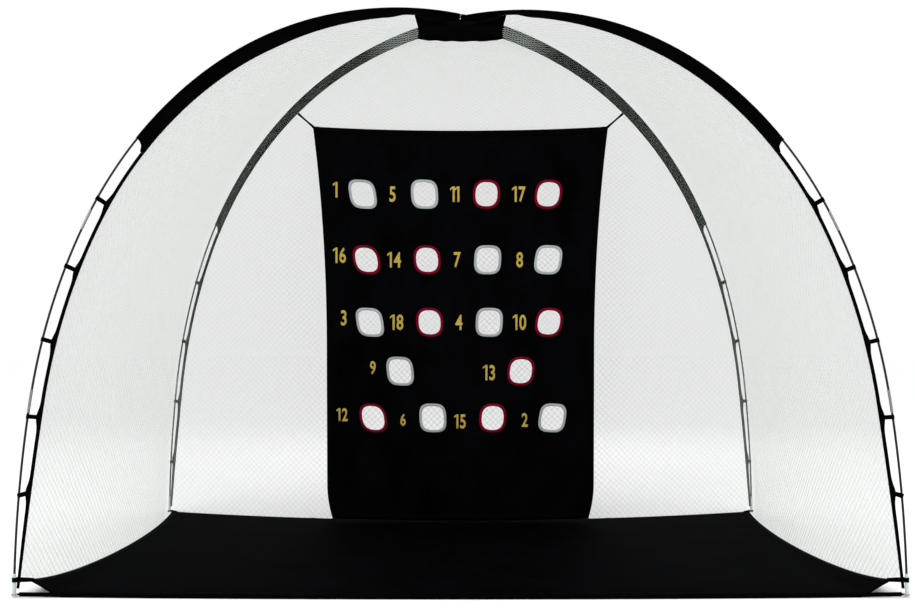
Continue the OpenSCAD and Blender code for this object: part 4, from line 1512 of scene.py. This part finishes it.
class PRACTICENET_OT_ties(bpy.types.Operator):
    """Makes the straps at the target's upper corners and the ties at its lower ones"""

    bl_idname = "practice_net.ties"
    bl_label = "Target ties"

    def execute(self, context):
        settings = context.scene.practice_net
        thick = settings.cloth.webbing_t
        self.add_corner_straps(settings, thick)
        self.add_foot_ties(settings, thick)
        return {"FINISHED"}

    def add_corner_straps(self, settings, thick):
        wave = settings.target.wave
        # Half the strap's width, how much less it is in the waist, and how far it laps onto the sheet
        half_w, waisting, lap = 0.0065, 0.0022, 0.03
        proud_at_tie, proud_on_sheet = 0.0021, 0.0017
        bm = bmesh.new()
        for side in (-1, 1):
            start = Vector((side * TIE_POINT.x, 0))
            end = Vector((side * TARGET_CORNER.x, TARGET_CORNER.y))
            way = (end - start).normalized()
            across = Vector((-way.y, way.x))
            reach = (end - start).length + lap

            def place(u, v, start=start, way=way, across=across):
                half = half_w - waisting * arch(clamp(v / 0.8))
                p = start + way * reach * v + across * (2 * u - 1) * half
                return target_point(p.x, p.y, mix(proud_at_tie, proud_on_sheet, v), wave * v)

            add_grid(bm, 3, 16, place, (2 * half_w, reach))
        finish = webbing(settings)
        sew("target_corner_webbing", bm, finish, ["target_corner_straps"], "target", wall=thick)

    def add_foot_ties(self, settings, thick):
        low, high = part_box("target_foot_ties")
        half, drape = 2.5 * thick, 0.004
        bm = bmesh.new()
        for side in (-1, 1):
            start = Vector((side * (target_half(TARGET_DROP) - 0.004), low.y + 0.003, TARGET_FOOT_H))
            end = Vector((side * (high.x - 0.01), high.y - 0.004, FLOOR_T + 0.003))
            flat = (end - start).to_2d().normalized()
            across = Vector((-flat.y, flat.x, 0))

            def place(u, v, start=start, end=end, across=across):
                sag = Vector((0, 0, -drape * arch(v)))
                return start.lerp(end, v) + across * (2 * u - 1) * half + sag

            add_grid(bm, 2, 10, place, (0.008, (end - start).length))
        sew("target_foot_webbing", bm, webbing(settings), ["target_foot_ties"], wall=thick)


OPERATORS = (
    PRACTICENET_OT_stage,
    PRACTICENET_OT_frame,
    PRACTICENET_OT_sleeves,
    PRACTICENET_OT_crown,
    PRACTICENET_OT_hems,
    PRACTICENET_OT_loops,
    PRACTICENET_OT_tabs,
    PRACTICENET_OT_nets,
    PRACTICENET_OT_floor,
    PRACTICENET_OT_strap,
    PRACTICENET_OT_target,
    PRACTICENET_OT_rims,
    PRACTICENET_OT_numbers,
    PRACTICENET_OT_ties,
)


class PRACTICENET_PT_panel(bpy.types.Panel):
    """Lists the practice net's settings and pieces"""

    bl_idname = "PRACTICENET_PT_panel"
    bl_label = "Practice Net"
    bl_space_type = "VIEW_3D"
    bl_region_type = "UI"
    bl_category = "Practice Net"

    def draw(self, context):
        for operator in OPERATORS:
            self.layout.operator(operator.bl_idname)
        settings = context.scene.practice_net
        for group in settings.bl_rna.properties:
            if group.type == "POINTER" and group.identifier != "rna_type":
                box = self.layout.box()
                box.label(text=group.name)
                values = getattr(settings, group.identifier)
                for value in values.bl_rna.properties:
                    if value.identifier not in ("rna_type", "name"):
                        box.prop(values, value.identifier)


CLASSES = (
    FrameFinish,
    NettingSettings,
    ClothSettings,
    FloorSettings,
    TargetSettings,
    StageSettings,
    PracticeNetSettings,
    *OPERATORS,
    PRACTICENET_PT_panel,
)


def register():
    for cls in CLASSES:
        bpy.utils.register_class(cls)
    bpy.types.Scene.practice_net = PointerProperty(type=PracticeNetSettings)


def unregister():
    del bpy.types.Scene.practice_net
    for cls in reversed(CLASSES):
        bpy.utils.unregister_class(cls)


def main():
    """Builds the practice net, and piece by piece."""
    register()
    for operator in OPERATORS:
        getattr(bpy.ops.practice_net, operator.bl_idname.split(".")[1])()


if __name__ == "__main__":
    main()
